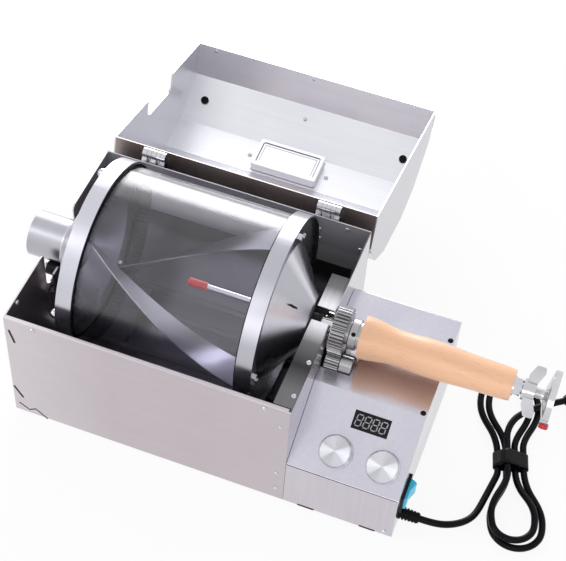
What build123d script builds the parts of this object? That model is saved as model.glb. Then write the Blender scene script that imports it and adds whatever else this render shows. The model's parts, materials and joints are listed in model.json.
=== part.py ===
"""Electric glass-drum coffee roaster: one solid per piece, millimetres, Z up.

X runs along the drum from the spigot to the thermometer, Y from the front panel to the hinges, and the
drum axis is drawn at Y 0. The lid is drawn open, as it is displayed. At the end everything moves so that
the origin lies on the table under the middle of the whole object.
"""
import os
from math import acos, atan2, cos, degrees, hypot, pi, radians, sin, tan

from build123d import *

# Casing
trough_width = 290.0
trough_depth = 238.0
rim_above_axis = 14.0
control_width = 113.0
control_depth = 196.0
sheet = 1.2
bend = 1.0
flange = 14.0
hem = 3.0
shelf_share = 0.72
foot_height = 3.7
foot_radius = 10.0
foot_inset = 30.0
floor_gap = 2.5
panel_gap = 0.3
vent_length = 34.0
vent_width = 5.0
vent_pitch = 42.0
vent_columns = 6

# Heat pan and heaters
pan_below_rim = 65.0
pan_side_height = 27.0
pan_half_floor = 70.0
pan_sheet = 0.8
pan_bend = 12.0
heater_radius = 4.0
heater_bend = 15.0
heater_y = 43.0
heater_drop = 9.6
heater_inset = 30.0
heater_tail = 16.0
pan_drop = 10.0
comb_inset = 60.0
comb_thickness = 2.0

# Control panel
deck_below_axis = 27.0
slope_rise = 45.0
slope_run = 72.0
knob_radius = 16.0
knob_height = 14.0
knob_left_x = 42.0
knob_spacing = 47.0
knob_along = 27.0
knob_lift = 1.0
knob_wall = 4.0
knob_edge = 1.0
knob_mark = (1.6, 9.0, 1.0)
shaft_radius = 3.0
bush_radius = 4.5
pot_radius = 8.5
pot_depth = 9.0
display_width = 36.0
display_height = 18.0
display_x = 65.5
display_along = 62.0
window_step = 2.0
module_depth = 7.0
board_sheet = 1.6
board_margin = 8.0
tab_width = 10.0

# Switch
switch_y = 29.0
switch_z = 42.0
bezel_width = 31.0
bezel_height = 27.0
bezel_thickness = 2.5
bezel_lip = 1.5
bezel_corner = 2.0
switch_depth = 22.0
rocker_width = 21.0
rocker_height = 17.0
rocker_swing = 12.4
rocker_tilt = 10.0
rocker_root = 3.0
trunnion_radius = 1.5

# Drum
axis_height = 140.0
glass_radius = 93.0
glass_wall = 4.0
gasket_wall = 3.0
gasket_lip = 1.2
end_seat = 2.0
cap_wall = 1.5
band_length = 16.0
drum_inset = 43.0
cone_gap = 21.0
spigot_radius = 23.0
spigot_reach = 24.0
spigot_root = 21.0
spigot_inside = 8.0
hub_radius = 40.0
hub_lip = 5.0
cone_radius = 70.0
cone_tip_radius = 24.5
cone_length = 27.0
flange_inset = 4.0
bolt_radius = 2.5
bolt_circle = 83.0
bolt_angle = 64.0
bolt_count = 3
bolt_end = 2.0
bolt_head_radius = 4.2
bolt_head = 2.5
nut_radius = 5.8
nut_height = 5.0
dome_radius = 4.9
dome_neck = 3.0
vane_angle = 32.0
vane_width = 26.0
vane_sheet = 1.6
vane_gap = 2.5
vane_twist = 90.0
vane_lead = 6.0
vane_steps = 6

# Axle and drive
journal_radius = 7.0
stem_radius = 3.0
axle_flange_radius = 12.0
axle_tail = 26.0
collar_radius = 9.5
collar_length = 10.0
gear_module = 1.25
gear_teeth = 36
pinion_teeth = 14
pressure_angle = 20.0
gear_face = 14.0
gear_start = 2.5
gear_hub_radius = 12.0
gear_hub = 2.5
pinion_direction = -124.0
pinion_shaft = 2.5
backlash = 0.12
gearbox_thickness = 12.0
gearbox_head = 7.5
gearbox_gap = 1.0
motor_drop = 42.0
motor_shift = 12.5
motor_radius = 17.0
motor_length = 42.0
standoff_radius = 4.0
standoffs = ((-12.0, -6.0), (12.0, -6.0), (4.0, 26.0))

# Handle and thermometer
ferrule_radius = 15.5
ferrule_length = 12.0
ferrule_step = 4.0
ferrule_chamfer = 1.0
grub_radius = 2.2
grub_tilt = 40.0
handle_length = 150.0
handle_radius = 23.0
handle_swell = ((0.07, 0.90), (0.20, 0.775), (0.40, 0.80), (0.78, 0.725), (0.96, 0.69))
handle_tail = 0.665
washer = 1.5
gland_washer = 10.0
gland_hexagon = 9.0
hexagon_height = 6.5
gland_neck = 5.0
gland_length = 30.0
dial_radius = 26.5
dial_depth = 11.0
dial_wall = 1.2
dial_bezel = 2.4
dial_step = 5.0
dial_sheet = 0.8
spindle = 1.5
pointer_clear = 7.0
pointer_rest = 125.0
trim_radius = 4.6
trim_angle = -128.0
wing_span = 25.0
wing_radius = 8.5
wing_sheet = 1.6
wing_angle = -52.0
wing_length = 12.0
probe_inset = 142.0
probe_tip_radius = 4.2
probe_tip_length = 20.0

# Supports under the drum
bearing_radius = 11.0
bearing_width = 7.0
bearing_bore = 4.0
bearing_spread = 50.0
bearing_edge = 0.4
bearing_groove = 0.6
bearing_race = 3.0
bearing_shield = 1.8
pin_head = 6.0
roller_radius = 7.0
roller_width = 12.0
roller_spread = 40.0
roller_pin = 2.5
roller_edge = 0.8
roller_out = 4.0
bracket_sheet = 2.0
bracket_drop = 22.0

# Lid
lid_rise = 97.0
lid_wall = 41.0
lid_shoulder = 82.0
lid_roof = 72.0
lid_knee = 0.49
lid_overhang = 3.0
lid_seat = 0.5
lid_open = 195.0
notch_half = 35.0
notch_depth = 22.0
notch_corner = 10.0
pull_width = 78.0
pull_depth = 12.0
pull_margin = 7.0
pull_sheet = 1.2
pull_gap = 0.8
pull_wing = 10.0
pull_rim = 4.0
pull_bead = 1.0
cup_corner = 2.5
buffer_inset = 22.0
buffer_stem = 3.0
buffer_radius = 6.0
buffer_height = 5.0
hinge_inset = 49.0
hinge_length = 25.0
hinge_knuckles = 5
hinge_radius = 5.2
hinge_pin = 2.0
hinge_leaf = 2.4
hinge_back = 8.0
hinge_lift = 2.0
leaf_height = 26.0
leaf_gap = 4.0

# Lead
cord_radius = 3.5
relief_y = 22.0
relief_z = 17.0
relief_radius = 6.6
relief_reach = 20.0
relief_ribs = 5
lead_points = ((236.2, -97.0, 17.0), (251.6, -91.5, 15.4), (264.0, -80.6, 12.0), (271.6, -66.2, 8.0))
tail_runs = ((14.0, 0.0), (14.5, 20.0), (14.5, 40.0), (27.0, 60.0), (25.0, 70.0))
lane_step = 8.8
layer_step = 7.8
lobe_run = 64.0
waist_half = 9.0
lobe_draw = 17.0
hank_x = 288.0
hank_y = 8.0
hank_turn = 15.7
lead_heading = 24.0
lead_run_in = 16.0
tie_wall = 1.2
tie_length = 17.0
plug_length = 36.0
plug_neck = 24.0
plug_shoulder = 10.0
plug_pin_radius = 2.4
plug_pin_length = 19.0
plug_pin_spread = 9.5

# Clearances
running = 0.05
rolling = 0.35
loose = 0.3
fit = 0.1
tie_room = 0.4
slot_room = 2.0

# Derived positions
x_left = -(trough_width + control_width) / 2
x_wall = x_left + trough_width
x_side = x_wall + control_width
y_front = -trough_depth / 2
y_back = trough_depth / 2
y_deck = y_front + control_depth
rim_height = axis_height + rim_above_axis
deck_height = axis_height - deck_below_axis
fold_height = deck_height - slope_rise
base_top = floor_gap + 2 * sheet
inner_left = x_left + sheet
inner_wall = x_wall - sheet
slope_angle = degrees(atan2(slope_rise, slope_run))

band_radius = glass_radius + gasket_wall + cap_wall
band_bore = band_radius - cap_wall
drum_length = trough_width - drum_inset - cone_length - cone_gap
drum_start = x_left + drum_inset
drum_end = drum_start + drum_length
cone_end = drum_end + cone_length
heater_z = axis_height - band_radius - heater_drop
pan_floor = heater_z - pan_drop
gear_x = x_wall + gear_start
gear_pitch = gear_module * gear_teeth / 2
pinion_pitch = gear_module * pinion_teeth / 2
centre_distance = gear_pitch + pinion_pitch + fit
pinion_y = centre_distance * cos(radians(pinion_direction))
pinion_z = axis_height + centre_distance * sin(radians(pinion_direction))
ferrule_x = gear_x + gear_face + gear_hub
handle_x = ferrule_x + ferrule_length
tail_x = handle_x + handle_length
dial_x = tail_x + gland_length
rim_x = dial_x + dial_depth

lid_back = y_back + lid_overhang
lid_span = trough_depth + 2 * lid_overhang
lid_rim = rim_height + lid_seat
hinge_y = lid_back + hinge_back
hinge_z = lid_rim + hinge_lift


def slab(x_size, y_size, z_size, low):
    """Box standing on its low corner."""
    return Pos(*low) * Box(x_size, y_size, z_size, align=(Align.MIN, Align.MIN, Align.MIN))


def rod_up(radius, length):
    """Cylinder standing on the XY plane."""
    return Cylinder(radius, length, align=(Align.CENTER, Align.CENTER, Align.MIN))


def disc_x(radius, x_start, length, y=0.0, z=axis_height):
    """Cylinder lying along X."""
    return Pos(x_start, y, z) * Rot(0, 90, 0) * rod_up(radius, length)


def tube_x(outer, bore, x_start, length, y=0.0, z=axis_height):
    """Tube lying along X."""
    return disc_x(outer, x_start, length, y, z) - disc_x(bore, x_start - 1, length + 2, y, z)


def turned(points, y=0.0, z=axis_height):
    """Solid turned about a line along X from (x, radius) points."""
    outline = Polyline(*[(x, 0, r) for x, r in points], close=True)
    return Pos(0, y, z) * revolve(make_face(outline), Axis.X)


def turned_up(points):
    """Solid turned about Z from (radius, height) points."""
    return revolve(make_face(Polyline(*[(r, 0, h) for r, h in points], close=True)), Axis.Z)


def joined(solids):
    """Pieces that make one node."""
    whole = solids[0]
    for solid in solids[1:]:
        whole += solid
    return whole


def left_offset(points, distance):
    """Mitred copy of an open line, moved to its left."""
    moved = []
    last = len(points) - 1
    for i, (u, v) in enumerate(points):
        before = points[max(i - 1, 0)], points[max(i, 1)]
        after = points[min(i, last - 1)], points[min(i + 1, last)]
        normals = []
        for start, stop in (before, after):
            size = hypot(stop[0] - start[0], stop[1] - start[1])
            normals.append(((start[1] - stop[1]) / size, (stop[0] - start[0]) / size))
        (a, b), (c, d) = normals
        scale = distance / (1 + a * c + b * d)
        moved.append((u + (a + c) * scale, v + (b + d) * scale))
    return moved


def sheet_face(points, thickness, radius):
    """Cross-section of a folded sheet whose thickness lies to the left of the line."""
    other = left_offset(points, thickness)
    near, far = [], []
    for a, b, c in zip(points, points[1:], points[2:]):
        turn = (b[0] - a[0]) * (c[1] - b[1]) - (b[1] - a[1]) * (c[0] - b[0])
        near.append(radius + thickness if turn > 0 else radius)
        far.append(radius if turn > 0 else radius + thickness)
    sides = FilletPolyline(*points, radius=near) + FilletPolyline(*other, radius=far)
    return make_face(sides + Line(points[0], other[0]) + Line(points[-1], other[-1]))


def folded_x(points, x_start, length, thickness=sheet, radius=bend):
    """Sheet folded about lines along X, from (y, z) points."""
    face = Pos(x_start, 0, 0) * (Plane.YZ * sheet_face(points, thickness, radius))
    return extrude(face, length, dir=(1, 0, 0))


def folded_y(points, y_start, length, thickness=sheet, radius=bend):
    """Sheet folded about lines along Y, from (x, z) points."""
    face = Pos(0, y_start, 0) * (Plane.XZ * sheet_face(points, thickness, radius))
    return extrude(face, length, dir=(0, 1, 0))


def prism_x(points, x_start, length):
    """Plate of any (y, z) outline, extruded along X."""
    face = make_face(Polyline(*[(x_start, y, z) for y, z in points], close=True))
    return extrude(face, length, dir=(1, 0, 0))


def gear(teeth, x_start, length, bore, phase, y, z):
    """Spur gear with involute flanks, one tooth centred on the phase angle."""
    pitch = gear_module * teeth / 2
    base = pitch * cos(radians(pressure_angle))
    root = pitch - 1.25 * gear_module
    tip = pitch + 0.95 * gear_module
    half_pitch = pi / (2 * teeth) - backlash / pitch
    involute_at_pitch = tan(radians(pressure_angle)) - radians(pressure_angle)
    flank = []
    for step in range(5):
        radius = max(base, root) + (tip - max(base, root)) * step / 4
        pressure = acos(min(1.0, base / radius))
        half = half_pitch + involute_at_pitch - (tan(pressure) - pressure)
        flank.append((radius, half))
    profile = [(root, flank[0][1] * 1.12)] + flank
    points = []
    for tooth in range(teeth):
        middle = radians(phase) + 2 * pi * tooth / teeth
        points += [(r * cos(middle - h), r * sin(middle - h)) for r, h in profile]
        points += [(r * cos(middle + h), r * sin(middle + h)) for r, h in reversed(profile)]
    wheel = prism_x([(y + u, z + v) for u, v in points], x_start, length)
    return wheel - disc_x(bore, x_start - 1, length + 2, y, z)


def on_slope(x, along):
    """Plane on the sloped panel, with its local Y up the slope."""
    y = y_front + along * cos(radians(slope_angle))
    z = fold_height + along * sin(radians(slope_angle))
    normal = (0, -sin(radians(slope_angle)), cos(radians(slope_angle)))
    return Plane(origin=(x, y, z), x_dir=(1, 0, 0), z_dir=normal)


def opened(solid):
    """Lid piece drawn shut, swung open about the hinge."""
    return solid.rotate(Axis((0, hinge_y, hinge_z), (1, 0, 0)), -lid_open)


def opened_y(point):
    """Y of a lid section point once the lid is open."""
    angle = radians(-lid_open)
    return hinge_y + (point[0] - hinge_y) * cos(angle) - (point[1] - hinge_z) * sin(angle)


def lid_point(u, n):
    """Lid section point: u from the hinge edge, n above the lid rim."""
    return lid_back - u, lid_rim + n


def lid_plane(x, first, second):
    """Plane on the outside of the lid facet between two section points."""
    (u0, n0), (u1, n1) = first, second
    origin = (x, *lid_point((u0 + u1) / 2, (n0 + n1) / 2))
    return Plane(origin=origin, x_dir=(1, 0, 0), z_dir=(0, n1 - n0, u1 - u0))


parts = {}

# Casing sheets
inset = sheet + bend + fit
plates = []
for x, width, depth in ((inner_left, trough_width - sheet, trough_depth),
                        (inner_wall, control_width - sheet, control_depth)):
    plates.append(slab(width, depth - 2 * inset, sheet, (x, y_front + inset, floor_gap + sheet)))
base_plate = joined(plates)
for column in range(vent_columns):
    for row in (-1, 0, 1):
        spot = Pos(x_left + trough_width * (column + 0.7) / (vent_columns + 0.4), row * vent_pitch, floor_gap)
        base_plate -= spot * extrude(SlotOverall(vent_length, vent_width), 3 * sheet)
parts["base_plate"] = base_plate

front_line = [(y_front + hem + bend, rim_height), (y_front, rim_height), (y_front, floor_gap),
              (y_front + flange, floor_gap)]
front_panel = folded_x(front_line, x_left, trough_width)
corner_cut = (sheet + fit, flange + bend, rim_height)
front_panel -= slab(*corner_cut, (x_left - fit, y_front + sheet, 0))
front_panel -= slab(inset, hem + 2 * bend, 2 * inset, (x_wall - inset, y_front + sheet, rim_height - inset))
parts["front_panel"] = front_panel

notch_floor = axis_height - spigot_radius - 2 * roller_radius
wall_low = (x_left, y_front + sheet, floor_gap)
left_wall = slab(sheet, trough_depth - 2 * sheet, rim_height - floor_gap, wall_low)
notch = slab(4 * sheet, 2 * (notch_half - 1), rim_height, (x_left - sheet, 1 - notch_half, notch_floor))
left_wall -= fillet(notch.edges().filter_by(Axis.X).group_by(Axis.Z)[0], notch_corner)
ears = left_wall.edges().filter_by(Axis.X).group_by(Axis.Z)[-1].sort_by(Axis.Y)[1:3]
parts["left_wall"] = fillet(ears, notch_corner / 2)

shelf_reach = cone_gap - slot_room
right_line = [(x_wall - flange, base_top), (x_wall, base_top), (x_wall, rim_height),
              (x_wall - shelf_reach, rim_height)]
right_wall = folded_y(right_line, y_front + sheet, trough_depth - 2 * sheet)
shelf_end = y_front + shelf_share * trough_depth
shelf_low = (x_wall - shelf_reach - 1 - sheet, rim_height - 2 * sheet)
for y, depth in ((shelf_end, y_back - shelf_end), (y_front, hem + 2 * bend)):
    right_wall -= slab(shelf_reach + 1, depth, 3 * sheet, (shelf_low[0], y, shelf_low[1]))
slot_half = journal_radius + slot_room
slot_low = (x_wall - shelf_reach - 1, -slot_half, axis_height)
right_wall -= slab(shelf_reach + 2, 2 * slot_half, rim_height, slot_low)
right_wall -= disc_x(slot_half, inner_wall - 1, sheet + 2)
heater_legs = [side * heater_y + leg * heater_bend for side in (-1, 1) for leg in (-1, 1)]
for y in heater_legs:
    right_wall -= disc_x(heater_radius + loose, inner_wall - 1, sheet + 2, y, heater_z)
parts["right_wall"] = right_wall

back_line = [(y_back - flange, floor_gap), (y_back, floor_gap), (y_back, rim_height)]
back_wall = folded_x(back_line, x_left, trough_width)
parts["back_wall"] = back_wall - slab(*corner_cut, (x_left - fit, y_back - sheet - flange - bend, 0))

# Heat pan and heaters
pan_start = inner_left + flange
pan_length = trough_width - 2 * flange - 2 * sheet
pan_top = rim_height - pan_below_rim
pan_side = y_back - sheet
pan_line = [(-pan_side, pan_top), (-pan_side, pan_top - pan_side_height), (-pan_half_floor, pan_floor),
            (pan_half_floor, pan_floor), (pan_side, pan_top - pan_side_height), (pan_side, pan_top)]
parts["heat_pan"] = folded_x(pan_line, pan_start, pan_length, pan_sheet, pan_bend)

bend_x = pan_start + heater_inset
leg_length = x_wall + heater_tail - bend_x
heaters = [disc_x(heater_radius, bend_x, leg_length, y, heater_z) for y in heater_legs]
for side in (-1, 1):
    ring = Pos(bend_x, side * heater_y, heater_z) * Torus(heater_bend, heater_radius)
    reach = heater_bend + 2 * heater_radius
    heaters.append(ring & slab(reach, 2 * reach, 2 * reach,
                               (bend_x - reach, side * heater_y - reach, heater_z - reach)))
parts["heaters"] = joined(heaters)

comb_half = heater_y + heater_bend + heater_radius
comb_low = pan_floor + pan_sheet
comb_height = heater_z + heater_radius / 2 - comb_low
open_slot = (comb_thickness + 2, 2 * heater_radius, 2 * heater_radius)
combs = []
for x in (pan_start + comb_inset, x_wall - comb_inset):
    comb = slab(comb_thickness, 2 * comb_half, comb_height, (x, -comb_half, comb_low))
    for y in heater_legs:
        comb -= disc_x(heater_radius + running, x - 1, comb_thickness + 2, y, heater_z)
        comb -= slab(*open_slot, (x - 1, y - heater_radius, heater_z))
    combs.append(comb)
parts["heater_combs"] = joined(combs)

# Control housing
deck_outline = [(y_front, floor_gap), (y_front, fold_height), (y_front + slope_run, deck_height),
                (y_deck, deck_height), (y_deck, floor_gap)]
cover_line = [(y_deck - flange, floor_gap)] + deck_outline[::-1] + [(y_front + flange, floor_gap)]
cover_start = x_wall + panel_gap
cover = folded_x(cover_line, cover_start, x_side - sheet - cover_start)
box_x = gear_x + gear_face + gearbox_gap
pinion_room = pinion_pitch + gear_module + slot_room
cover -= slab(box_x + gearbox_thickness + loose - x_wall, 2 * pinion_room, 2 * pinion_room,
              (x_wall, pinion_y - pinion_room, deck_height - pinion_room))
window_plane = on_slope(x_wall + display_x, display_along)
cover -= window_plane * Box(display_width + 2 * fit, display_height + 2 * fit, 8 * sheet)
knob_planes = [on_slope(x_wall + knob_left_x + i * knob_spacing, knob_along) for i in (0, 1)]
for plane in knob_planes:
    cover -= plane * Cylinder(bush_radius + fit, 8 * sheet)
parts["control_cover"] = cover

side_panel = prism_x(deck_outline, x_side - sheet, sheet)
side_panel = fillet(side_panel.edges().filter_by(Axis.X), bend + sheet)
side_panel += slab(tab_width, control_depth - slope_run - 2 * tab_width, sheet,
                   (x_side - sheet - tab_width, y_front + slope_run + tab_width, deck_height - 2 * sheet))
switch_at = (y_front + switch_y, switch_z)
body_width = bezel_width - 2 * bezel_lip
body_height = bezel_height - 2 * bezel_lip
side_panel -= Pos(x_side, *switch_at) * Box(8 * sheet, body_width + 2 * fit, body_height + 2 * fit)
relief_at = (y_front + relief_y, relief_z)
relief_core = relief_radius - bezel_lip
side_panel -= disc_x(relief_core + fit, x_side - 2 * sheet, 4 * sheet, *relief_at)
parts["control_side"] = side_panel

window = Pos(0, 0, -sheet) * Box(display_width, display_height, 2 * sheet)
window += Pos(0, 0, -1.5 * sheet) * Box(display_width + window_step, display_height + window_step, sheet)
parts["display_window"] = window_plane * window
module_top = -2 * sheet
module = Pos(0, 0, module_top - module_depth / 2) * Box(display_width, display_height, module_depth)
board = Box(display_width + board_margin, display_height + board_margin, board_sheet)
module += Pos(0, 0, module_top - module_depth - board_sheet / 2) * board
parts["display_module"] = window_plane * module

pots = []
for plane in knob_planes:
    pot = Pos(0, 0, -sheet - pot_depth) * rod_up(pot_radius, pot_depth)
    pot += Pos(0, 0, -sheet) * rod_up(bush_radius, 2 * shaft_radius)
    pots.append(plane * (pot - Cylinder(shaft_radius + running, 4 * pot_depth)))
parts["potentiometers"] = joined(pots)

knob_skirt = [(0, knob_lift), (knob_radius, knob_lift), (knob_radius, 3 * knob_lift),
              (knob_radius - knob_edge, knob_height - knob_edge), (knob_radius - 2 * knob_edge, knob_height),
              (0, knob_height)]
for name, plane in zip(("knob_left", "knob_right"), knob_planes):
    knob = turned_up(knob_skirt)
    knob -= rod_up(knob_radius - knob_wall, knob_height / 2)
    knob += Pos(0, 0, -pot_depth) * rod_up(shaft_radius, pot_depth + knob_height - knob_wall)
    knob -= Pos(0, knob_radius - knob_mark[1] * 0.6, knob_height) * Box(*knob_mark)
    parts[name] = plane * knob

# Gearmotor
motor_y = pinion_y - motor_shift
motor_z = pinion_z - motor_drop
head = Pos(pinion_y, pinion_z) * Circle(gearbox_head)
can = Pos(motor_y, motor_z) * Circle(motor_radius)
gearbox = Pos(box_x, 0, 0) * (Plane.YZ * make_hull(head.edges() + can.edges()))
motor = extrude(gearbox, gearbox_thickness, dir=(1, 0, 0))
motor = fillet(motor.edges().group_by(Axis.X)[-1], bearing_edge + bend)
motor_end = box_x + gearbox_thickness + motor_length
motor += disc_x(motor_radius - 1, box_x + gearbox_thickness, motor_length, motor_y, motor_z)
motor += disc_x(motor_radius * 0.4, motor_end, 3 * bend, motor_y, motor_z)
motor += disc_x(gearbox_head - bezel_lip, box_x - gearbox_gap / 2, gearbox_gap / 2, pinion_y, pinion_z)
for shift, rise in standoffs:
    motor += disc_x(standoff_radius, x_wall, box_x - x_wall, motor_y + shift, motor_z + rise)
parts["gearmotor"] = motor

gear_bore = journal_radius + running
drum_gear = gear(gear_teeth, gear_x, gear_face, gear_bore, pinion_direction, 0.0, axis_height)
parts["drum_gear"] = drum_gear + tube_x(gear_hub_radius, gear_bore, gear_x + gear_face, gear_hub)
pinion_phase = pinion_direction + 180 + 180 / pinion_teeth
pinion = gear(pinion_teeth, gear_x, gear_face, pinion_shaft / 2, pinion_phase, pinion_y, pinion_z)
parts["motor_pinion"] = pinion + disc_x(pinion_shaft, gear_x, gear_face, pinion_y, pinion_z)

# Switch with a rocker whose ends are round about its pivot
bezel = Pos(x_side, *switch_at) * (Plane.YZ * RectangleRounded(bezel_width, bezel_height, bezel_corner))
switch_body = extrude(bezel, bezel_thickness, dir=(1, 0, 0))
switch_body += Pos(x_side - switch_depth / 2, *switch_at) * Box(switch_depth, body_width, body_height)
pivot_x = x_side + bezel_thickness - 2 * bend
well_half = rocker_swing + loose
well_floor = pivot_x - rocker_root - rocker_swing * sin(radians(rocker_tilt)) - 1
switch_body -= slab(rocker_swing, 2 * well_half, rocker_height + 2 * loose,
                    (well_floor, switch_at[0] - well_half, switch_at[1] - rocker_height / 2 - loose))
trunnion_length = rocker_height + 2 * trunnion_radius
trunnion = Pos(pivot_x, *switch_at) * Cylinder(trunnion_radius, trunnion_length)
socket = Pos(pivot_x, *switch_at) * Cylinder(trunnion_radius + running, trunnion_length + 2 * loose)
parts["switch_body"] = switch_body - socket

valley = (rocker_swing ** 2 - (rocker_width / 2) ** 2) ** 0.5 - rocker_width / 2 * tan(radians(rocker_tilt))
crest = valley + rocker_swing * tan(radians(rocker_tilt))
roof = Polyline((-rocker_root, -rocker_swing), (crest, -rocker_swing), (valley, 0), (crest, rocker_swing),
                (-rocker_root, rocker_swing), close=True)
rocker = make_face(roof) & Circle(rocker_swing)
rocker = Pos(pivot_x, switch_at[0], switch_at[1] - rocker_height / 2) * extrude(rocker, rocker_height)
pivot = Axis((pivot_x, *switch_at), (0, 0, 1))
parts["switch_rocker"] = (rocker + trunnion).rotate(pivot, -rocker_tilt)

feet = []
for x in (x_left + foot_inset, x_wall - foot_inset, x_side - 0.8 * foot_inset):
    for y in (y_front + foot_inset, y_deck - foot_inset):
        feet.append(Pos(x, y, 0) * Cone(0.85 * foot_radius, foot_radius, foot_height,
                                        align=(Align.CENTER, Align.CENTER, Align.MIN)))
parts["feet"] = joined(feet)

# Drum shell
glass_start = drum_start + cap_wall + end_seat
flange_end = drum_end - flange_inset
glass_end = flange_end - cap_wall - end_seat
glass_bore = glass_radius - glass_wall
parts["glass_drum"] = turned([(glass_start, glass_bore), (glass_end, glass_bore), (glass_end, glass_radius),
                              (glass_start, glass_radius)])
lip = glass_bore - gasket_lip
gaskets = []
gasket_places = [(drum_start + cap_wall, drum_start, 1), (flange_end - cap_wall, drum_end, -1)]
for edge_x, band_x, inward in gasket_places:
    seat = edge_x + inward * end_seat
    mouth = band_x + inward * (band_length + gasket_lip)
    gaskets.append(turned([(edge_x, lip), (seat, lip), (seat, glass_radius), (mouth, glass_radius),
                           (mouth, band_bore), (edge_x, band_bore)]))
parts["gaskets"] = joined(gaskets)

throat = spigot_radius + running
hub_x = x_left + spigot_root
left_cap = turned([(drum_start + band_length, band_radius), (drum_start, band_radius),
                   (drum_start, cone_radius), (hub_x, hub_radius), (hub_x, throat),
                   (hub_x + cap_wall, throat), (hub_x + cap_wall, hub_radius - cap_wall),
                   (drum_start + cap_wall, cone_radius - cap_wall), (drum_start + cap_wall, band_bore),
                   (drum_start + band_length, band_bore)])
right_cap = turned([(drum_end - band_length, band_radius), (drum_end, band_radius), (drum_end, band_bore),
                    (flange_end, band_bore), (flange_end, cone_radius), (cone_end, cone_tip_radius),
                    (cone_end, gear_bore), (cone_end - cap_wall, gear_bore),
                    (cone_end - cap_wall, cone_tip_radius - cap_wall),
                    (flange_end - cap_wall, cone_radius - cap_wall), (flange_end - cap_wall, band_bore),
                    (drum_end - band_length, band_bore)])

# Cap bolts: heads inside, dome nuts on the left cap and plain nuts on the right one
dome_x = drum_start - nut_height - dome_neck
dome_slant = dome_radius * cos(radians(45))
left_inner = drum_start + cap_wall
left_stem = Polyline((dome_x - dome_radius, 0, 0), (left_inner + bolt_head, 0, 0),
                     (left_inner + bolt_head, 0, bolt_head_radius), (left_inner, 0, bolt_head_radius),
                     (left_inner, 0, bolt_radius), (drum_start, 0, bolt_radius),
                     (drum_start, 0, dome_radius), (dome_x, 0, dome_radius))
left_dome = ThreePointArc((dome_x, 0, dome_radius), (dome_x - dome_slant, 0, dome_slant),
                          (dome_x - dome_radius, 0, 0))
right_inner = flange_end - cap_wall
right_tip = flange_end + nut_height + bolt_end
bolts = []
for step in range(bolt_count):
    angle = radians(bolt_angle + 360 / bolt_count * step)
    y = bolt_circle * cos(angle)
    z = axis_height + bolt_circle * sin(angle)
    left_cap -= disc_x(bolt_radius + running, drum_start - 1, cap_wall + 2, y, z)
    right_cap -= disc_x(bolt_radius + running, right_inner - 1, cap_wall + 2, y, z)
    left_bolt = Pos(0, y, z) * revolve(make_face(left_stem + left_dome), Axis.X)
    right_bolt = turned([(right_inner - bolt_head, 0), (right_inner - bolt_head, bolt_head_radius),
                         (right_inner, bolt_head_radius), (right_inner, bolt_radius),
                         (right_tip, bolt_radius), (right_tip, 0)], y, z)
    for bolt, nut_x in ((left_bolt, drum_start - nut_height), (right_bolt, flange_end)):
        nut = Pos(nut_x, y, z) * (Plane.YZ * RegularPolygon(nut_radius, 6))
        bolts.append(bolt + extrude(nut, nut_height, dir=(1, 0, 0)))
parts["left_cap"] = left_cap
parts["right_cap"] = right_cap
parts["cap_bolts"] = joined(bolts)

spigot_start = x_left - spigot_reach
spigot_bore = spigot_radius - cap_wall
hub_seat = throat + hub_lip - cap_wall
parts["spigot"] = turned([(spigot_start, spigot_radius), (hub_x - cap_wall, spigot_radius),
                          (hub_x - cap_wall, hub_seat), (hub_x, hub_seat), (hub_x, spigot_radius),
                          (hub_x + spigot_inside, spigot_radius), (hub_x + spigot_inside, spigot_bore),
                          (spigot_start, spigot_bore)])

# Mixing vanes, twisted along the drum
vane_outer = glass_bore - vane_gap
vane_start = drum_start + cap_wall
vane_length = flange_end - cap_wall - vane_start
vanes = []
for angle in (vane_angle, vane_angle + 180):
    sections = []
    for step in range(vane_steps + 1):
        share = step / vane_steps
        blade = Pos(vane_outer - vane_width / 2, 0, 0) * Rectangle(vane_width, vane_sheet)
        blade = Rot(0, 0, angle - vane_lead - vane_twist * (1 - share)) * blade
        sections.append(Pos(vane_start + vane_length * share, 0, axis_height) * (Plane.YZ * blade))
    vanes.append(loft(sections))
parts["mixing_vanes"] = joined(vanes)

# Axle, collar, ferrule and handle
axle_face = cone_end - cap_wall
axle_back = axle_face - 2 * cap_wall
axle_end = handle_x + axle_tail
stem_bore = stem_radius + running
parts["axle"] = turned([(axle_back, stem_bore), (axle_back, axle_flange_radius),
                        (axle_face, axle_flange_radius), (axle_face, journal_radius),
                        (axle_end, journal_radius), (axle_end, stem_bore)])
parts["collar"] = tube_x(collar_radius, gear_bore, cone_end, collar_length)
ferrule = turned([(ferrule_x, gear_bore), (ferrule_x, ferrule_radius - ferrule_chamfer),
                  (ferrule_x + ferrule_chamfer, ferrule_radius), (handle_x - ferrule_step, ferrule_radius),
                  (handle_x - ferrule_step, ferrule_radius - ferrule_step / 2),
                  (handle_x, ferrule_radius - ferrule_step / 2), (handle_x, gear_bore)])
grub = Pos(ferrule_x + ferrule_step + ferrule_chamfer, 0, axis_height) * Rot(grub_tilt, 0, 0)
grub = grub * Pos(0, 0, journal_radius) * rod_up(grub_radius, ferrule_radius)
parts["ferrule"] = ferrule - grub

swell = [(handle_x + a * handle_length, handle_radius * b) for a, b in handle_swell]
near_edge = (handle_x, handle_radius - bezel_lip)
far_edge = (tail_x, handle_radius * handle_tail)
outside = Spline(*[(x, 0, r) for x, r in [near_edge] + swell + [far_edge]])
bore_step = axle_end + loose
stem_room = stem_radius + loose
inside = Polyline((tail_x, 0, far_edge[1]), (tail_x, 0, stem_room), (bore_step, 0, stem_room),
                  (bore_step, 0, gear_bore), (handle_x, 0, gear_bore), (handle_x, 0, near_edge[1]))
parts["handle"] = Pos(0, 0, axis_height) * revolve(make_face(outside + inside), Axis.X)

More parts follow.
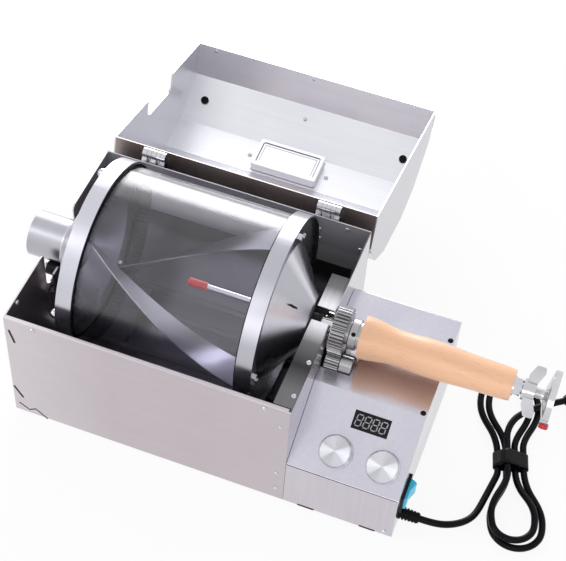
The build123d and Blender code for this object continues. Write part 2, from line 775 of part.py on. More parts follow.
# Tail gland, wing nut and thermometer
gland = disc_x(gland_washer, tail_x, washer)
hexagon = Pos(tail_x + washer, 0, axis_height) * (Plane.YZ * RegularPolygon(gland_hexagon, 6))
gland += extrude(hexagon, hexagon_height, dir=(1, 0, 0))
gland += disc_x(gland_neck, tail_x, gland_length)
parts["tail_gland"] = gland - disc_x(stem_bore, tail_x - 1, gland_length + 2)

nut_x = tail_x + washer + hexagon_height + washer
wing_nut = disc_x(wing_radius, nut_x, wing_length)
wing_nut += disc_x(wing_radius + 2 * bend, nut_x, 2 * washer)
ear_line = [(0.2, 0.2), (0.2, 0.6), (0.6, 1.0), (1.33, 1.0), (1.4, 0.76), (0.9, 0.2)]
for side in (-1, 1):
    ear = Polyline(*[(nut_x + wing_length * a, 0, side * wing_span * b) for a, b in ear_line], close=True)
    wing = extrude(make_face(ear), wing_sheet, both=True)
    wing_nut += Pos(0, 0, axis_height) * fillet(wing.edges().filter_by(Axis.Y), 2 * bend)
wing_nut -= disc_x(gland_neck + running, nut_x - 1, 2 * wing_length)
drum_line = Axis((0, 0, axis_height), (1, 0, 0))
parts["wing_nut"] = wing_nut.rotate(drum_line, wing_angle)

dial_seat = dial_x + dial_step
dial_bore = dial_radius - dial_wall
bezel_bore = dial_radius - dial_bezel
parts["thermometer_case"] = turned([(dial_x, stem_bore), (dial_x, wing_radius),
                                    (dial_seat - 1, dial_radius - 1), (dial_seat, dial_radius),
                                    (rim_x, dial_radius), (rim_x, bezel_bore),
                                    (rim_x - dial_wall, bezel_bore), (rim_x - dial_wall, dial_bore),
                                    (dial_seat, dial_bore), (dial_seat, stem_bore)])
parts["thermometer_dial"] = tube_x(dial_bore - fit, spindle, dial_seat, dial_sheet)
parts["thermometer_lens"] = disc_x(dial_bore - fit, rim_x - 2 * dial_wall, dial_wall)
pointer_x = dial_seat + dial_sheet + 2 * loose
blade_line = [(-1.2, -pointer_clear), (1.2, -pointer_clear), (0.5, dial_radius - pointer_clear),
              (-0.5, dial_radius - pointer_clear)]
pointer = Pos(0, 0, axis_height) * prism_x(blade_line, pointer_x, dial_sheet / 2)
pointer += disc_x(spindle + bend, pointer_x, dial_wall)
pointer += disc_x(spindle - running, dial_seat + loose, dial_sheet + loose)
parts["thermometer_pointer"] = pointer.rotate(drum_line, pointer_rest)
trim_y = dial_radius * cos(radians(trim_angle))
trim_z = axis_height + dial_radius * sin(radians(trim_angle))
trim_spot = Pos(dial_seat + trim_radius * 0.65, trim_y, trim_z) * Rot(trim_angle - 90, 0, 0)
trim = trim_spot * rod_up(trim_radius, trim_radius)
parts["thermometer_cap"] = trim - disc_x(dial_radius, dial_x, 2 * dial_depth)
probe_start = x_left + probe_inset
parts["probe"] = disc_x(stem_radius, probe_start, dial_seat - probe_start)
nose_x = probe_start - cap_wall
tip_end = nose_x + probe_tip_length
parts["probe_tip"] = turned([(nose_x, 0), (nose_x, probe_tip_radius - cap_wall),
                             (probe_start, probe_tip_radius), (tip_end, probe_tip_radius),
                             (tip_end, stem_bore), (probe_start, stem_bore), (probe_start, 0)])

# Bearings under the journal and rollers under the spigot
bearing_reach = journal_radius + bearing_radius + rolling
bearing_x = inner_wall - bearing_groove - loose - bearing_width
bearing_end = bearing_x + bearing_width
ring_low = bearing_bore + bearing_race
ring_high = bearing_radius - bearing_shield
pins = []
for name, side in (("bearing_front", -1), ("bearing_back", 1)):
    y = side * bearing_reach * sin(radians(bearing_spread))
    z = axis_height - bearing_reach * cos(radians(bearing_spread))
    parts[name] = turned([(bearing_x, bearing_bore + running), (bearing_x, ring_low),
                          (bearing_x + bearing_groove, ring_low), (bearing_x + bearing_groove, ring_high),
                          (bearing_x, ring_high), (bearing_x, bearing_radius - bearing_edge),
                          (bearing_x + bearing_edge, bearing_radius),
                          (bearing_end - bearing_edge, bearing_radius),
                          (bearing_end, bearing_radius - bearing_edge),
                          (bearing_end, bearing_bore + running)], y, z)
    pin = disc_x(bearing_bore, bearing_x - bearing_groove, inner_wall - bearing_x + bearing_groove, y, z)
    pins.append(pin + disc_x(pin_head, bearing_x - 3 * bearing_groove - loose, 2 * bearing_groove, y, z))
parts["bearing_pins"] = joined(pins)

roller_reach = spigot_radius + roller_radius + rolling
roller_x = x_left - roller_out
roller_end = roller_x + roller_width
bracket_x = roller_end + bend
bracket_foot = notch_floor - bracket_drop
bracket_line = [(bracket_x, axis_height - spigot_radius / 2), (bracket_x, bracket_foot + 0.9 * bracket_drop),
                (inner_left, bracket_foot + 0.64 * bracket_drop), (inner_left, bracket_foot)]
bracket = folded_y(bracket_line, -notch_half, 2 * notch_half, bracket_sheet, bracket_sheet)
bracket -= disc_x(spigot_radius + 2 * slot_room, x_left, 2 * bracket_drop)
for name, side in (("roller_front", -1), ("roller_back", 1)):
    y = side * roller_reach * sin(radians(roller_spread))
    z = axis_height - roller_reach * cos(radians(roller_spread))
    parts[name] = turned([(roller_x, roller_pin + running), (roller_x, roller_radius - roller_edge),
                          (roller_x + roller_edge, roller_radius), (roller_end - roller_edge, roller_radius),
                          (roller_end, roller_radius - roller_edge),
                          (roller_end, roller_pin + running)], y, z)
    bracket += disc_x(roller_pin, roller_x - roller_edge, bracket_x - roller_x + roller_edge, y, z)
    bracket += disc_x(roller_pin + bezel_lip, roller_x - 3 * roller_edge, 2 * roller_edge + running, y, z)
parts["roller_bracket"] = bracket

# Lid
run = (lid_span - lid_roof) / 2
lid_line = [(0, 0), (0, lid_wall), (run * lid_knee, lid_shoulder), (run, lid_rise),
            (run + lid_roof, lid_rise), (lid_span - run * lid_knee, lid_shoulder), (lid_span, lid_wall),
            (lid_span, 0)]
lid_section = [lid_point(u, n) for u, n in lid_line]
lid = folded_x(lid_section, inner_left, inner_wall - inner_left, sheet, 2 * bend)
pull_plane = lid_plane(x_left + trough_width / 2, lid_line[4], lid_line[5])
facet = hypot(lid_line[5][0] - lid_line[4][0], lid_rise - lid_shoulder)
cup_height = facet - pull_margin
lid -= pull_plane * Box(pull_width + 2 * pull_gap, cup_height + 2 * pull_gap, 8 * sheet)
button = buffer_stem + bezel_lip
buffer_line = [(0, -3 * sheet), (button, -3 * sheet), (button, -sheet), (buffer_stem, -sheet),
               (buffer_stem, 0), (buffer_radius, 0), (buffer_radius - bend / 2, 0.7 * buffer_height),
               (buffer_stem, buffer_height), (0, buffer_height)]
buffers = []
for x in (x_left + buffer_inset, x_wall - buffer_inset):
    spot = lid_plane(x, lid_line[5], lid_line[6])
    lid -= spot * Cylinder(buffer_stem + fit, 8 * sheet)
    buffers.append(spot * turned_up(buffer_line))
parts["lid_shell"] = opened(lid)
parts["lid_buffers"] = opened(joined(buffers))

downward = (Align.CENTER, Align.CENTER, Align.MAX)
cup = fillet(Box(pull_width, cup_height, pull_depth, align=downward).edges().filter_by(Axis.Z), cup_corner)
cup += extrude(RectangleRounded(pull_width + 2 * pull_wing, facet - 2 * bend, 2 * cup_corner), pull_sheet)
hollow = Box(pull_width - 2 * pull_sheet, cup_height - 2 * pull_sheet, pull_depth, align=downward)
cup -= Pos(0, 0, pull_sheet) * fillet(hollow.edges().filter_by(Axis.Z), cup_corner - pull_sheet)
rim = RectangleRounded(pull_width, cup_height, cup_corner)
rim -= RectangleRounded(pull_width - 2 * pull_rim, cup_height - 2 * pull_rim, cup_corner)
cup += Pos(0, 0, -pull_depth - pull_bead) * extrude(rim, pull_bead)
parts["lid_pull"] = opened(pull_plane * cup)

for name, x in (("lid_left_end", x_left), ("lid_right_end", inner_wall)):
    end = prism_x(lid_section, x, sheet)
    if name == "lid_left_end":
        gap_low = (x - sheet, -notch_half, lid_rim - notch_depth)
        gap = slab(4 * sheet, 2 * notch_half, 2 * notch_depth, gap_low)
        end -= fillet(gap.edges().filter_by(Axis.X).group_by(Axis.Z)[-1], notch_corner)
    parts[name] = opened(end)

knuckle = hinge_length / hinge_knuckles
fixed_web = [(y_back, rim_height - 2 * leaf_gap), (y_back + hinge_leaf, rim_height - 3 * leaf_gap),
             (hinge_y + bend, hinge_z - hinge_radius), (hinge_y - hinge_pin, hinge_z)]
leaf_low = lid_rim + hinge_radius + 1.5 * leaf_gap
lid_web = [(lid_back, leaf_low + leaf_gap), (lid_back + hinge_leaf, leaf_low + 2 * leaf_gap),
           (hinge_y + bend, hinge_z + hinge_radius - fit), (hinge_y - hinge_pin - bend, hinge_z)]
fixed, swinging = [], []
for x in (x_left + hinge_inset, x_wall - hinge_inset):
    low = x - hinge_length / 2
    post = slab(hinge_length, hinge_leaf, leaf_height, (low, y_back, rim_height - leaf_height - leaf_gap))
    leaf = slab(hinge_length, hinge_leaf, leaf_height, (low, lid_back, leaf_low))
    for index in range(hinge_knuckles):
        room = loose if index % 2 else 0
        start = low + index * knuckle + room
        width = knuckle - 2 * room
        barrel = disc_x(hinge_radius, start, width, hinge_y, hinge_z)
        if index % 2:
            leaf += prism_x(lid_web, start, width) + barrel
        else:
            post += prism_x(fixed_web, start, width) + barrel
    fixed.append(post + disc_x(hinge_pin, low, hinge_length, hinge_y, hinge_z))
    swinging.append(leaf - disc_x(hinge_pin + running, low, hinge_length, hinge_y, hinge_z))
parts["hinge_fixed"] = joined(fixed)
parts["hinge_lid"] = opened(joined(swinging))

# Lead, hank and plug: the hank is drawn about its own waist and then set down
z_low = tie_wall + tie_room + cord_radius
z_high = z_low + layer_step
straight = 2 * cord_radius
far = waist_half + lobe_run
waist_out, waist_in = 1.5 * lane_step, 0.5 * lane_step
lobe_out, lobe_in = waist_out + lobe_draw, waist_in + lobe_draw


def tube(path):
    """Round cord swept along a path."""
    return sweep(Plane(origin=path @ 0, z_dir=path % 0) * Circle(cord_radius), path)


def slant(start, stop, heading):
    """Two equal arcs that carry a strand sideways and leave it running the same way."""
    start, stop, along = Vector(*start), Vector(*stop), Vector(0, heading, 0)
    ahead = (stop - start).dot(along)
    shift = stop - start - along * ahead
    radius = (ahead ** 2 + shift.length ** 2) / (4 * shift.length)
    quarter = acos(1 - shift.length / (2 * radius)) / 2
    bow = along * (radius * sin(quarter)) + shift.normalized() * (radius * (1 - cos(quarter)))
    middle = (start + stop) * 0.5
    return [ThreePointArc(start, start + bow, middle), ThreePointArc(middle, stop - bow, stop)]


def cord_route(points):
    """Tube along straight runs joined by tangent arcs."""
    radii = []
    for a, b, c in zip(points, points[1:], points[2:]):
        half_turn = radians((b - a).get_angle(c - b)) / 2
        radii.append(0.45 * min((b - a).length, (c - b).length) / tan(half_turn))
    print("cord radii", [round(r, 1) for r in radii], "diameter", 2 * cord_radius)
    return tube(FilletPolyline(*points, radius=radii))


entry_radius = 9 * cord_radius
entry_reach = entry_radius * tan(radians(lead_heading / 2))
entry_way = Vector(sin(radians(lead_heading)), cos(radians(lead_heading)), 0)
entry_corner = Vector(-waist_out, -waist_half - entry_reach, z_low)
entry_arc = entry_corner - entry_way * entry_reach
hank_start = entry_arc - entry_way * straight
strand = [Line(hank_start, entry_arc)]
strand += [TangentArc(entry_arc, (-waist_out, -waist_half, z_low), tangent=entry_way)]
stations = [(-waist_out, z_low, lobe_out, lobe_out), (waist_out, z_low, lobe_out, lobe_in),
            (-waist_in, z_low, lobe_in, lobe_in), (waist_in, z_high, lobe_in, lobe_in)]
following = [station[0] for station in stations[1:]] + [-waist_in]
height = z_low
for (waist, lobe_z, leave, meet), next_waist in zip(stations, following):
    way = 1 if waist < 0 else -1
    lobe_start, lobe_stop = (-way * leave, way * far, lobe_z), (way * meet, way * far, lobe_z)
    lobe_top = (way * (meet - leave) / 2, way * (far + (leave + meet) / 2), lobe_z)
    strand += [Line((waist, -way * waist_half, height), (waist, way * waist_half, height))]
    strand += slant((waist, way * waist_half, height), lobe_start, way)
    strand += [ThreePointArc(lobe_start, lobe_top, lobe_stop)]
    strand += slant(lobe_stop, (next_waist, way * waist_half, lobe_z), -way)
    height = lobe_z
hank_end = Vector(-waist_in, waist_half + straight, height)
strand += [Line((-waist_in, -waist_half, height), hank_end)]
set_down = Pos(hank_x, hank_y, 0) * Rot(0, 0, hank_turn)
parts["cord_hank"] = set_down * tube(Wire(strand))
wraps = []
for room in (tie_room, tie_room + tie_wall):
    rounds = [Pos(u, z) * Circle(cord_radius + room)
              for u, z in ((-waist_out, z_low), (waist_out, z_low), (-waist_in, z_high))]
    loop = make_hull(rounds[0].edges() + rounds[1].edges() + rounds[2].edges())
    wraps.append(extrude(Plane.XZ * loop, tie_length / 2, both=True))
parts["cord_tie"] = set_down * (wraps[1] - wraps[0])


def placed(point):
    """Hank point moved to where the hank lies."""
    return (set_down * Pos(*point)).position


relief_end = Vector(x_side + relief_reach, *relief_at)
rib = relief_reach / (relief_ribs + 1)
relief_line = [(x_side - 2 * sheet, 0), (x_side - 2 * sheet, relief_radius), (x_side - sheet, relief_radius),
               (x_side - sheet, relief_core), (x_side, relief_core)]
for index in range(relief_ribs + 1):
    x = x_side + index * rib
    outer = relief_radius - 0.2 * index
    relief_line += [(x, outer), (x + 0.6 * rib, outer), (x + 0.6 * rib, relief_core), (x + rib, relief_core)]
relief_line += [(x_side + relief_reach, 0)]
parts["cord_relief"] = turned(relief_line, *relief_at)

arrive = (placed(entry_arc) - placed(hank_start)).normalized()
lead = [relief_end] + [Vector(*point) for point in lead_points]
lead += [placed(hank_start) - arrive * lead_run_in, placed(hank_start)]
parts["cord_lead"] = cord_route(lead)

tail = [hank_end]
for length, turn in tail_runs:
    tail.append(tail[-1] + Vector(length * sin(radians(turn)), length * cos(radians(turn)), 0))
tail = [placed(point) for point in tail]
parts["cord_tail"] = cord_route(tail)

plug_end = plug_neck + plug_length
plug_line = [(0, 0), (cord_radius + bezel_lip, 0), (2 * cord_radius, plug_neck),
             (3 * cord_radius, plug_neck + 0.3 * plug_shoulder), (z_high, plug_neck + plug_shoulder),
             (z_high, plug_end), (0, plug_end)]
plug = turned_up(plug_line)
for side in (-plug_pin_spread, plug_pin_spread):
    plug_pin = Pos(side, 0, plug_end) * rod_up(plug_pin_radius, plug_pin_length)
    plug += fillet(plug_pin.edges().group_by(Axis.Z)[-1], bend)
plug_way = tail[-1] - tail[-2]
parts["cord_plug"] = Plane(origin=tail[-1], x_dir=plug_way.cross(Vector(0, 0, 1)), z_dir=plug_way) * plug

# The origin goes under the middle of the whole object, lead left out
lid_tip = opened_y(lid_point(lid_span, 0))
to_origin = Pos(-(spigot_start + rim_x) / 2, -(y_front + lid_tip) / 2, 0)

os.makedirs("parts", exist_ok=True)
for name, solid in parts.items():
    export_step(to_origin * solid, f"parts/{name}.step")
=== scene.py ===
import json
from math import cos, pi, radians, sin, tan

import bmesh
import bpy
from bpy.props import FloatProperty, FloatVectorProperty, IntProperty, PointerProperty
from mathutils import Matrix, Vector
from mathutils.geometry import convex_hull_2d


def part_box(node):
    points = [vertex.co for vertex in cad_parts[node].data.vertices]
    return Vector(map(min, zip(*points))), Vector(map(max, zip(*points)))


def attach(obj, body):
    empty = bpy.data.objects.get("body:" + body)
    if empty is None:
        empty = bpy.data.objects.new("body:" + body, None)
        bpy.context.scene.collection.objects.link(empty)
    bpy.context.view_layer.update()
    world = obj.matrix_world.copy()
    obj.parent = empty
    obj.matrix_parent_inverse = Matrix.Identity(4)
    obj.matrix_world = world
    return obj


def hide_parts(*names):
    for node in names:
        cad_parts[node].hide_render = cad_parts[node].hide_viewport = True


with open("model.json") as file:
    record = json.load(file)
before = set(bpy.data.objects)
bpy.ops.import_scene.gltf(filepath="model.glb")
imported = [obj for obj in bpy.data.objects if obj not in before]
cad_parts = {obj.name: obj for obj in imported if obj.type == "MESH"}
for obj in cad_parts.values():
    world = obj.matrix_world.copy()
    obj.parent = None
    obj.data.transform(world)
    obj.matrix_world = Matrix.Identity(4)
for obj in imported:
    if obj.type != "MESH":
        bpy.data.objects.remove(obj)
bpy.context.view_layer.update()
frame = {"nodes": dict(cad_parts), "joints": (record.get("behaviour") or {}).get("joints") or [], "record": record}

bl_info = {
    "name": "Glass-drum coffee roaster",
    "version": (1, 0, 0),
    "blender": (4, 5, 0),
    "location": "3D View > Sidebar > Roaster",
    "description": "Dresses the packed roaster with finishes, fasteners, markings and its mains lead",
    "category": "Object",
}

NODES = frame["nodes"]
JOINTS = {joint["name"]: joint for joint in frame["joints"]}
AXIS = Vector(JOINTS["drum_spin"]["pos_m"])
HINGE = Vector(JOINTS["lid_swing"]["pos_m"])
LID_OPEN = radians(-JOINTS["lid_swing"]["range_deg"][1])
KNOBS = {name: Vector(JOINTS[name + "_turn"]["pos_m"]) for name in ("knob_left", "knob_right")}
SLOPE_NORMAL = Vector(JOINTS["knob_left_turn"]["axis"])
ALONG_DRUM = Vector((1, 0, 0))
UP_SLOPE = SLOPE_NORMAL.cross(ALONG_DRUM)
FORWARD = Vector((0, -1, 0))
UP = Vector((0, 0, 1))
MM = 0.001
SHEET = 1.2 * MM

# Knobs and display up the slope from its front fold, in millimetres, and the fold's height
KNOB_UP, DISPLAY_UP = 27.0, 62.0
FOLD = JOINTS["knob_left_turn"]["pos_m"][2] - KNOB_UP * MM * UP_SLOPE.z


def at(x, y, z):
    """Point in metres from millimetres along the drum, back from its axis and up from the table."""
    return Vector((AXIS.x + x * MM, AXIS.y + y * MM, z * MM))


def out_from_axis(degrees):
    """Way out from the drum's axis, turned from the back over the top."""
    return Vector((0, cos(radians(degrees)), sin(radians(degrees))))


def corners(node):
    """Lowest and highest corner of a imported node."""
    low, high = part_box(node)
    return Vector(low), Vector(high)


def on_lid(point):
    """Point of the shut lid, swung open with it."""
    return HINGE + Matrix.Rotation(LID_OPEN, 3, "X") @ (point - HINGE)


def lid_way(way):
    """Direction on the shut lid, swung open with it."""
    return Matrix.Rotation(LID_OPEN, 3, "X") @ Vector(way).normalized()


class RoasterSizes(bpy.types.PropertyGroup):
    """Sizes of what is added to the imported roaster."""

    screw: FloatProperty(
        name="Screw head", description="Radius of a panel screw's head", default=0.0026, unit="LENGTH")
    rivet: FloatProperty(
        name="Rivet head", description="Radius of a rivet's head", default=0.0020, unit="LENGTH")
    slit: FloatProperty(
        name="Slit width", description="Width of the relief slits in the panels", default=0.0025,
        unit="LENGTH")
    digit: FloatProperty(
        name="Digit height", description="Height of a display digit", default=0.0112, unit="LENGTH")
    stroke: FloatProperty(
        name="Digit stroke", description="Width of one display segment", default=0.0010, unit="LENGTH")
    ridges: IntProperty(
        name="Knob ridges", description="Ridges round each knob's grip", default=72)
    pitch: FloatProperty(
        name="Thread pitch", description="Pitch of the studs and the tail gland", default=0.0012,
        unit="LENGTH")
    tie: FloatProperty(
        name="Tie width", description="Width of the strap round the lead", default=0.017, unit="LENGTH")
    cord: FloatProperty(
        name="Lead diameter", description="Across the jacket of the mains lead", default=0.007, unit="LENGTH")
    cord_length: FloatProperty(
        name="Lead length", description="From the strain relief to the plug", default=1.166, unit="LENGTH")


class RoasterColours(bpy.types.PropertyGroup):
    """Colours of the main finishes."""

    panel: FloatVectorProperty(
        name="Panel steel", description="Front panel", subtype="COLOR", default=(0.60, 0.54, 0.575))
    deck: FloatVectorProperty(
        name="Deck steel", description="Slope and top of the control housing", subtype="COLOR",
        default=(0.63, 0.62, 0.69))
    lid: FloatVectorProperty(
        name="Lid steel", description="Polished lid", subtype="COLOR", default=(0.81, 0.81, 0.85))
    drum: FloatVectorProperty(
        name="Drum steel", description="Spun caps and spigot", subtype="COLOR", default=(0.655, 0.65, 0.71))
    beech: FloatVectorProperty(
        name="Beech", description="Handle wood", subtype="COLOR", default=(0.92, 0.535, 0.325))
    rocker: FloatVectorProperty(
        name="Rocker blue", description="Clear switch rocker", subtype="COLOR", default=(0.015, 0.62, 0.98))


def settings():
    """The sizes and colours in use."""
    return bpy.context.scene.roaster_sizes, bpy.context.scene.roaster_colours


def feed(tree, socket, value):
    """Link a node's input from a node's first output or from a given one, or set it to a value."""
    if isinstance(value, bpy.types.Node):
        value = value.outputs[0]
    if isinstance(value, bpy.types.NodeSocket):
        tree.links.new(value, socket)
    else:
        socket.default_value = value


def add_node(tree, kind, *first_inputs, **named):
    """New node with its first inputs fed in order, and its other inputs and settings by their names."""
    node = tree.nodes.new(kind)
    for key, value in named.items():
        label = key.replace("_", " ")
        if label in node.inputs:
            feed(tree, node.inputs[label], value)
        else:
            setattr(node, key, value)
    for socket, value in zip(node.inputs, first_inputs):
        feed(tree, socket, value)
    return node


class Finish:
    """One material's node tree, with the few kinds of node that the roaster's finishes need."""

    def __init__(self, name, **constants):
        packed = bpy.data.materials.get(name)
        if packed:
            bpy.data.materials.remove(packed)
        self.material = bpy.data.materials.new(name)
        self.material.use_nodes = True
        self.tree = self.material.node_tree
        self.shader = self.tree.nodes["Principled BSDF"]
        for label, value in constants.items():
            self.shader.inputs[label.replace("_", " ")].default_value = value

    def add(self, kind, *first_inputs, **named):
        return add_node(self.tree, "ShaderNode" + kind, *first_inputs, **named)

    def link(self, source, label):
        feed(self.tree, self.shader.inputs[label], source)

    def place(self, scale=(1, 1, 1), centre=(0, 0, 0), turn=(0, 0, 0)):
        """Object coordinates moved to a centre, turned and stretched."""
        coords = self.add("TexCoord").outputs["Object"]
        shift = self.add("Mapping", coords, Location=[-c for c in centre])
        return self.add("Mapping", shift, Rotation=turn, Scale=scale)

    def noise(self, vector, scale, detail=4.0, rough=0.55):
        return self.add("TexNoise", vector, Scale=scale, Detail=detail, Roughness=rough)

    def along(self, axis, start, stop):
        """0 to 1 between two places on one axis of the object."""
        return self.spread(self.add("SeparateXYZ", self.place()).outputs[axis], start, stop)

    def spread(self, factor, start, stop, low=0.0, high=1.0):
        """Values from start to stop, spread over low to high."""
        return self.add("MapRange", factor, start, stop, low, high)

    def ramp(self, factor, *stops):
        """Colours between (place, colour) stops."""
        ramp = self.add("ValToRGB", factor)
        elements = ramp.color_ramp.elements
        while len(elements) < len(stops):
            elements.new(0.5)
        for element, (place, colour) in zip(elements, stops):
            element.position = place
            element.color = (*colour, 1.0)
        return ramp

    def times(self, first, second):
        """One colour multiplied by another."""
        mixed = self.add("Mix", 1.0, data_type="RGBA", blend_type="MULTIPLY")
        feed(self.tree, mixed.inputs[6], first)
        feed(self.tree, mixed.inputs[7], second)
        return mixed.outputs[2]

    def bump(self, height, strength, distance=0.0003):
        self.link(self.add("Bump", Strength=strength, Distance=distance, Height=height), "Normal")

    def vector(self, operation, *values):
        """Vector maths on sockets and constants."""
        node = self.add("VectorMath", *values, operation=operation)
        return node.outputs["Value" if operation in ("DOT_PRODUCT", "LENGTH") else "Vector"]

    def turned_about(self, centre, axis):
        """Radius from a centre line, and the way along a turned surface's outline."""
        place = self.place(centre=centre)
        reach = self.vector("DOT_PRODUCT", place, axis)
        outward = self.vector("SUBTRACT", place, self.add("VectorMath", axis, operation="SCALE", Scale=reach))
        meridian = self.vector("SUBTRACT", axis, self.vector("NORMALIZE", outward))
        world = self.add("VectorTransform", meridian, vector_type="VECTOR", convert_from="OBJECT",
                         convert_to="WORLD")
        return self.vector("LENGTH", outward), world

    def round_about(self, centre, start, quarter):
        """0 to 1 once round a centre line, from half a turn before the start way."""
        place = self.place(centre=centre)
        sides = [self.vector("DOT_PRODUCT", place, way) for way in (quarter, start)]
        return self.spread(self.add("Math", *sides, operation="ARCTAN2"), -pi, pi)


WHITE = (1.0, 1.0, 1.0)
# Grain across and up a sheet, as stretch along X, Y and Z
ACROSS, UPWARD = (6, 320, 320), (320, 320, 6)


def tint(colour, factor):
    """Colour made darker or lighter, up to white."""
    return tuple(min(1.0, c * factor) for c in colour)


def sheet_steel(name, first, last, span, rough, metallic=1.0, grain=ACROSS):
    """Satin sheet whose tone drifts from one place to another, with faint grain and handling smears."""
    steel = Finish(name, Metallic=metallic)
    streaks = steel.noise(steel.place(grain), 1.0, 5.0, 0.6)
    smears = steel.noise(steel.place((14, 8, 11)), 1.0, 4.0, 0.5)
    drift = steel.ramp(steel.along(*span), (0.0, first), (1.0, last))
    worn = steel.ramp(smears, (0.3, (0.93, 0.93, 0.94)), (0.7, WHITE))
    lined = steel.ramp(streaks, (0.3, tint(WHITE, 0.95)), (0.65, WHITE))
    steel.link(steel.times(steel.times(drift, worn), lined), "Base Color")
    steel.link(steel.spread(smears, 0.3, 0.7, *rough), "Roughness")
    steel.bump(streaks, 0.02)
    return steel.material


# Painted shade and highlight on a wall's top flange: tenths of a metre from the axle, and share of the wall's
# colour
FLANGE_SHADE_TONES = ((0.0, 1.0), (0.03, 1.35), (0.15, 1.2), (0.36, 0.26), (0.65, 0.07), (0.95, 0.28))


def flange_shade_steel(name, colour, top):
    """Wall sheet whose top flange has painted shade away from the axle, for the dark drum it mirrors, and a
    painted highlight round the axle.
    """
    steel = Finish(name, Metallic=1.0)
    streaks = steel.noise(steel.place((320, 6, 320)), 1.0, 5.0, 0.6)
    # Painted shade and highlight on the flange, set by reach from the axle
    reach = steel.vector("LENGTH", steel.place((0, 10, 0), AXIS))
    flange = steel.along("Z", top - 0.0016, top - 0.0011)
    flange_shade = steel.add("Math", reach, flange, operation="MULTIPLY")
    painted_tones = steel.ramp(flange_shade, *((place, tint(colour, share)) for place, share in FLANGE_SHADE_TONES))
    lined = steel.ramp(streaks, (0.3, tint(WHITE, 0.94)), (0.65, WHITE))
    steel.link(steel.times(painted_tones, lined), "Base Color")
    steel.link(steel.spread(streaks, 0.3, 0.7, 0.2, 0.3), "Roughness")
    steel.bump(streaks, 0.02)
    return steel.material


def spun_steel(name, colour, centre, axis, rough, anisotropic, rings=1400.0, painted_fans=None):
    """Turned metal: fine rings about a centre line that draw the gloss out into fans, with painted highlight and
    shade fans on the colour where painted fans are given.
    """
    steel = Finish(name, Metallic=1.0, Anisotropic=anisotropic)
    radius, meridian = steel.turned_about(centre, axis)
    grooves = steel.add("TexNoise", noise_dimensions="1D", W=radius, Scale=rings, Detail=2.0)
    clouds = steel.noise(steel.place(centre=centre), 18.0, 3.0)
    rubbed = steel.ramp(clouds, (0.3, tint(colour, 0.93)), (0.7, colour))
    lined = steel.ramp(grooves, (0.3, tint(WHITE, 0.92)), (0.6, WHITE))
    tone = steel.times(rubbed, lined)
    # Painted highlight and shade in fans round the face, fixed on the part and turning with it
    if painted_fans:
        start, quarter, stops = painted_fans
        share = steel.round_about(centre, start, quarter)
        painted_tones = [((angle + 180) / 360, (value, value, value)) for angle, value in stops]
        tone = steel.times(tone, steel.ramp(share, *painted_tones))
    steel.link(tone, "Base Color")
    steel.link(steel.spread(clouds, 0.3, 0.7, *rough), "Roughness")
    steel.link(meridian, "Tangent")
    return steel.material


def plain_finish(name, colour, rough, grain, bump, metallic=0.0, **constants):
    """Moulded, rubbed, plated or painted surface with a fine grain and a little colour change."""
    finish = Finish(name, Metallic=metallic, **constants)
    fine = finish.noise(finish.place(), grain, 3.0)
    broad = finish.noise(finish.place(), 24.0, 3.0)
    finish.link(finish.ramp(broad, (0.3, tint(colour, 0.86)), (0.75, tint(colour, 1.1))), "Base Color")
    finish.link(finish.spread(fine, 0.3, 0.7, rough - 0.05, rough + 0.05), "Roughness")
    finish.bump(fine, bump)
    return finish.material


def clear_glass(name):
    """Drum and dial glass: clear, with a faint film that softens the gloss in places."""
    glass = Finish(name, Base_Color=(0.935, 0.925, 0.995, 1.0), Transmission_Weight=1.0, IOR=1.1,
                   Coat_Weight=1.0, Coat_IOR=1.5)
    film = glass.noise(glass.place((4, 30, 30)), 1.0, 3.0)
    glass.link(glass.spread(film, 0.45, 0.75, 0.0, 0.04), "Roughness")
    glass.link(glass.spread(film, 0.3, 0.75, 0.12, 0.24), "Coat Roughness")
    return glass.material


def beech_wood(name, colour):
    """Turned beech: long pale grain with short darker flecks, oiled."""
    wood = Finish(name, Coat_Weight=0.5, Coat_Roughness=0.28)
    centre = at(185, 0, 140)
    grain = wood.noise(wood.place((5, 60, 60), centre, (0.06, 0.0, 0.03)), 1.0, 5.0, 0.6)
    flecks = wood.noise(wood.place((70, 800, 800), centre), 1.0, 2.0)
    base = wood.ramp(grain, (0.25, tint(colour, 0.86)), (0.55, colour), (0.8, tint(colour, 1.1)))
    marks = wood.ramp(flecks, (0.60, WHITE), (0.72, (0.86, 0.78, 0.70)))
    wood.link(wood.times(base, marks), "Base Color")
    wood.link(wood.spread(grain, 0.3, 0.7, 0.34, 0.48), "Roughness")
    wood.bump(flecks, 0.06)
    return wood.material


# Painted highlight and shade fans of the spun faces, fixed on the part: degrees round the face and tone
KNOB_PAINTED_FANS = ((-180, 1.0), (-142, 1.0), (-128, 0.72), (-40, 0.72), (-27, 1.0), (28, 1.0), (42, 0.72),
             (158, 0.72), (170, 1.0), (180, 1.0))
CONE_PAINTED_FANS = ((-180, 0.75), (-90, 0.68), (0, 0.6), (60, 0.58), (70, 0.66), (77, 1.15), (83, 1.0), (88, 0.78),
             (112, 0.78), (126, 1.08), (140, 1.08), (152, 0.8), (180, 0.75))
KNOB_FINISH = {"knob_left": "knob_metal", "knob_right": "right_knob_metal"}


